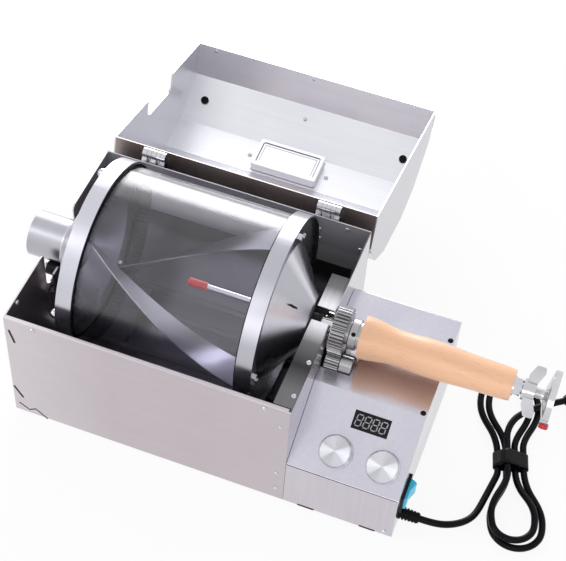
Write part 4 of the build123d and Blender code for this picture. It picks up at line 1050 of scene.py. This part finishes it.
def seen_directly(tree):
    """1 for what the camera sees by itself, in a gloss or through glass, and 0 for the rest."""
    rays = add_node(tree, "ShaderNodeLightPath").outputs
    total = rays["Is Camera Ray"]
    for name in ("Is Glossy Ray", "Is Transmission Ray"):
        total = add_node(tree, "ShaderNodeMath", total, rays[name], operation="ADD", use_clamp=True)
    return total


class ROASTER_OT_stage(bpy.types.Operator):
    """Set the camera, lamps, world and floor"""

    bl_idname = "roaster.stage"
    bl_label = "Stage"

    def execute(self, context):
        context.scene.view_settings.view_transform = "Standard"
        context.scene.camera = self.camera()
        self.lamps()
        self.floor()
        context.scene.world = self.world()
        return {"FINISHED"}

    def camera(self):
        data = bpy.data.cameras.new("photo_camera")
        data.sensor_fit = "HORIZONTAL"
        data.sensor_width = 36.0
        data.lens = data.sensor_width * FOCAL_PIXELS / PHOTO_WIDTH
        data.clip_end = 20.0
        camera = set_out("photo_camera", data)
        place = at(*CAMERA_AT)
        back = (place - at(*CAMERA_AIM)).normalized()
        right = Vector(CAMERA_UP).cross(back).normalized()
        turn = Matrix((right, back.cross(right), back)).transposed()
        camera.matrix_world = Matrix.Translation(place) @ turn.to_4x4()
        return camera

    def lamps(self):
        for name, place, aim, size, power in LAMPS:
            data = bpy.data.lights.new(name, "AREA")
            data.shape = "RECTANGLE"
            data.size, data.size_y = size
            data.energy = power
            start = at(*place)
            turn = (at(*aim) - start).to_track_quat("-Z", "Y").to_matrix().to_4x4()
            set_out(name, data).matrix_world = Matrix.Translation(start) @ turn

    def floor(self):
        mesh = bpy.data.meshes.new("studio_floor")
        reach = 6.0
        square = [(-reach, -reach, 0), (reach, -reach, 0), (reach, reach, 0), (-reach, reach, 0)]
        mesh.from_pydata(square, [], [(0, 1, 2, 3)])
        floor = set_out("studio_floor", mesh)
        mesh.materials.append(self.paper())

    def paper(self):
        """White paper that keeps a part of the object's shadow."""
        paper = Finish("floor_paper", Base_Color=(0.9, 0.9, 0.9, 1.0), Roughness=1.0, Specular_IOR_Level=0.0)
        share = paper.add("Math", seen_directly(paper.tree), 0.9, operation="MULTIPLY")
        mix = paper.add("MixShader", share, paper.shader, paper.add("Emission"))
        feed(paper.tree, paper.tree.nodes["Material Output"].inputs["Surface"], mix)
        return paper.material

    def world(self):
        """White where it is seen, and a little darker as light."""
        world = bpy.data.worlds.new("studio_world")
        world.use_nodes = True
        tree = world.node_tree
        strength = add_node(tree, "ShaderNodeMapRange", seen_directly(tree), To_Min=0.75, To_Max=1.0)
        background = tree.nodes["Background"].inputs
        background["Color"].default_value = (0.98, 0.985, 1.0, 1.0)
        feed(tree, background["Strength"], strength)
        return world


STEPS = (ROASTER_OT_finishes, ROASTER_OT_fasteners, ROASTER_OT_slits, ROASTER_OT_flare, ROASTER_OT_display,
         ROASTER_OT_dial, ROASTER_OT_knob_grips, ROASTER_OT_threads, ROASTER_OT_lead, ROASTER_OT_stage)


class ROASTER_PT_sidebar(bpy.types.Panel):
    """Steps that dress the roaster, with their sizes and colours"""

    bl_idname = "ROASTER_PT_sidebar"
    bl_label = "Roaster"
    bl_space_type = "VIEW_3D"
    bl_region_type = "UI"
    bl_category = "Roaster"

    def draw(self, context):
        for step in STEPS:
            self.layout.operator(step.bl_idname)
        for group in settings():
            for name in group.bl_rna.properties.keys():
                if name not in ("rna_type", "name"):
                    self.layout.prop(group, name)


CLASSES = (RoasterSizes, RoasterColours, *STEPS, ROASTER_PT_sidebar)


def register():
    for kind in CLASSES:
        bpy.utils.register_class(kind)
    bpy.types.Scene.roaster_sizes = PointerProperty(type=RoasterSizes)
    bpy.types.Scene.roaster_colours = PointerProperty(type=RoasterColours)


def unregister():
    del bpy.types.Scene.roaster_colours
    del bpy.types.Scene.roaster_sizes
    for kind in reversed(CLASSES):
        bpy.utils.unregister_class(kind)


def main():
    register()
    bpy.ops.roaster.finishes()
    bpy.ops.roaster.fasteners()
    bpy.ops.roaster.slits()
    bpy.ops.roaster.flare()
    bpy.ops.roaster.display()
    bpy.ops.roaster.dial()
    bpy.ops.roaster.knob_grips()
    bpy.ops.roaster.threads()
    bpy.ops.roaster.lead()
    bpy.ops.roaster.stage()


if __name__ == "__main__":
    main()
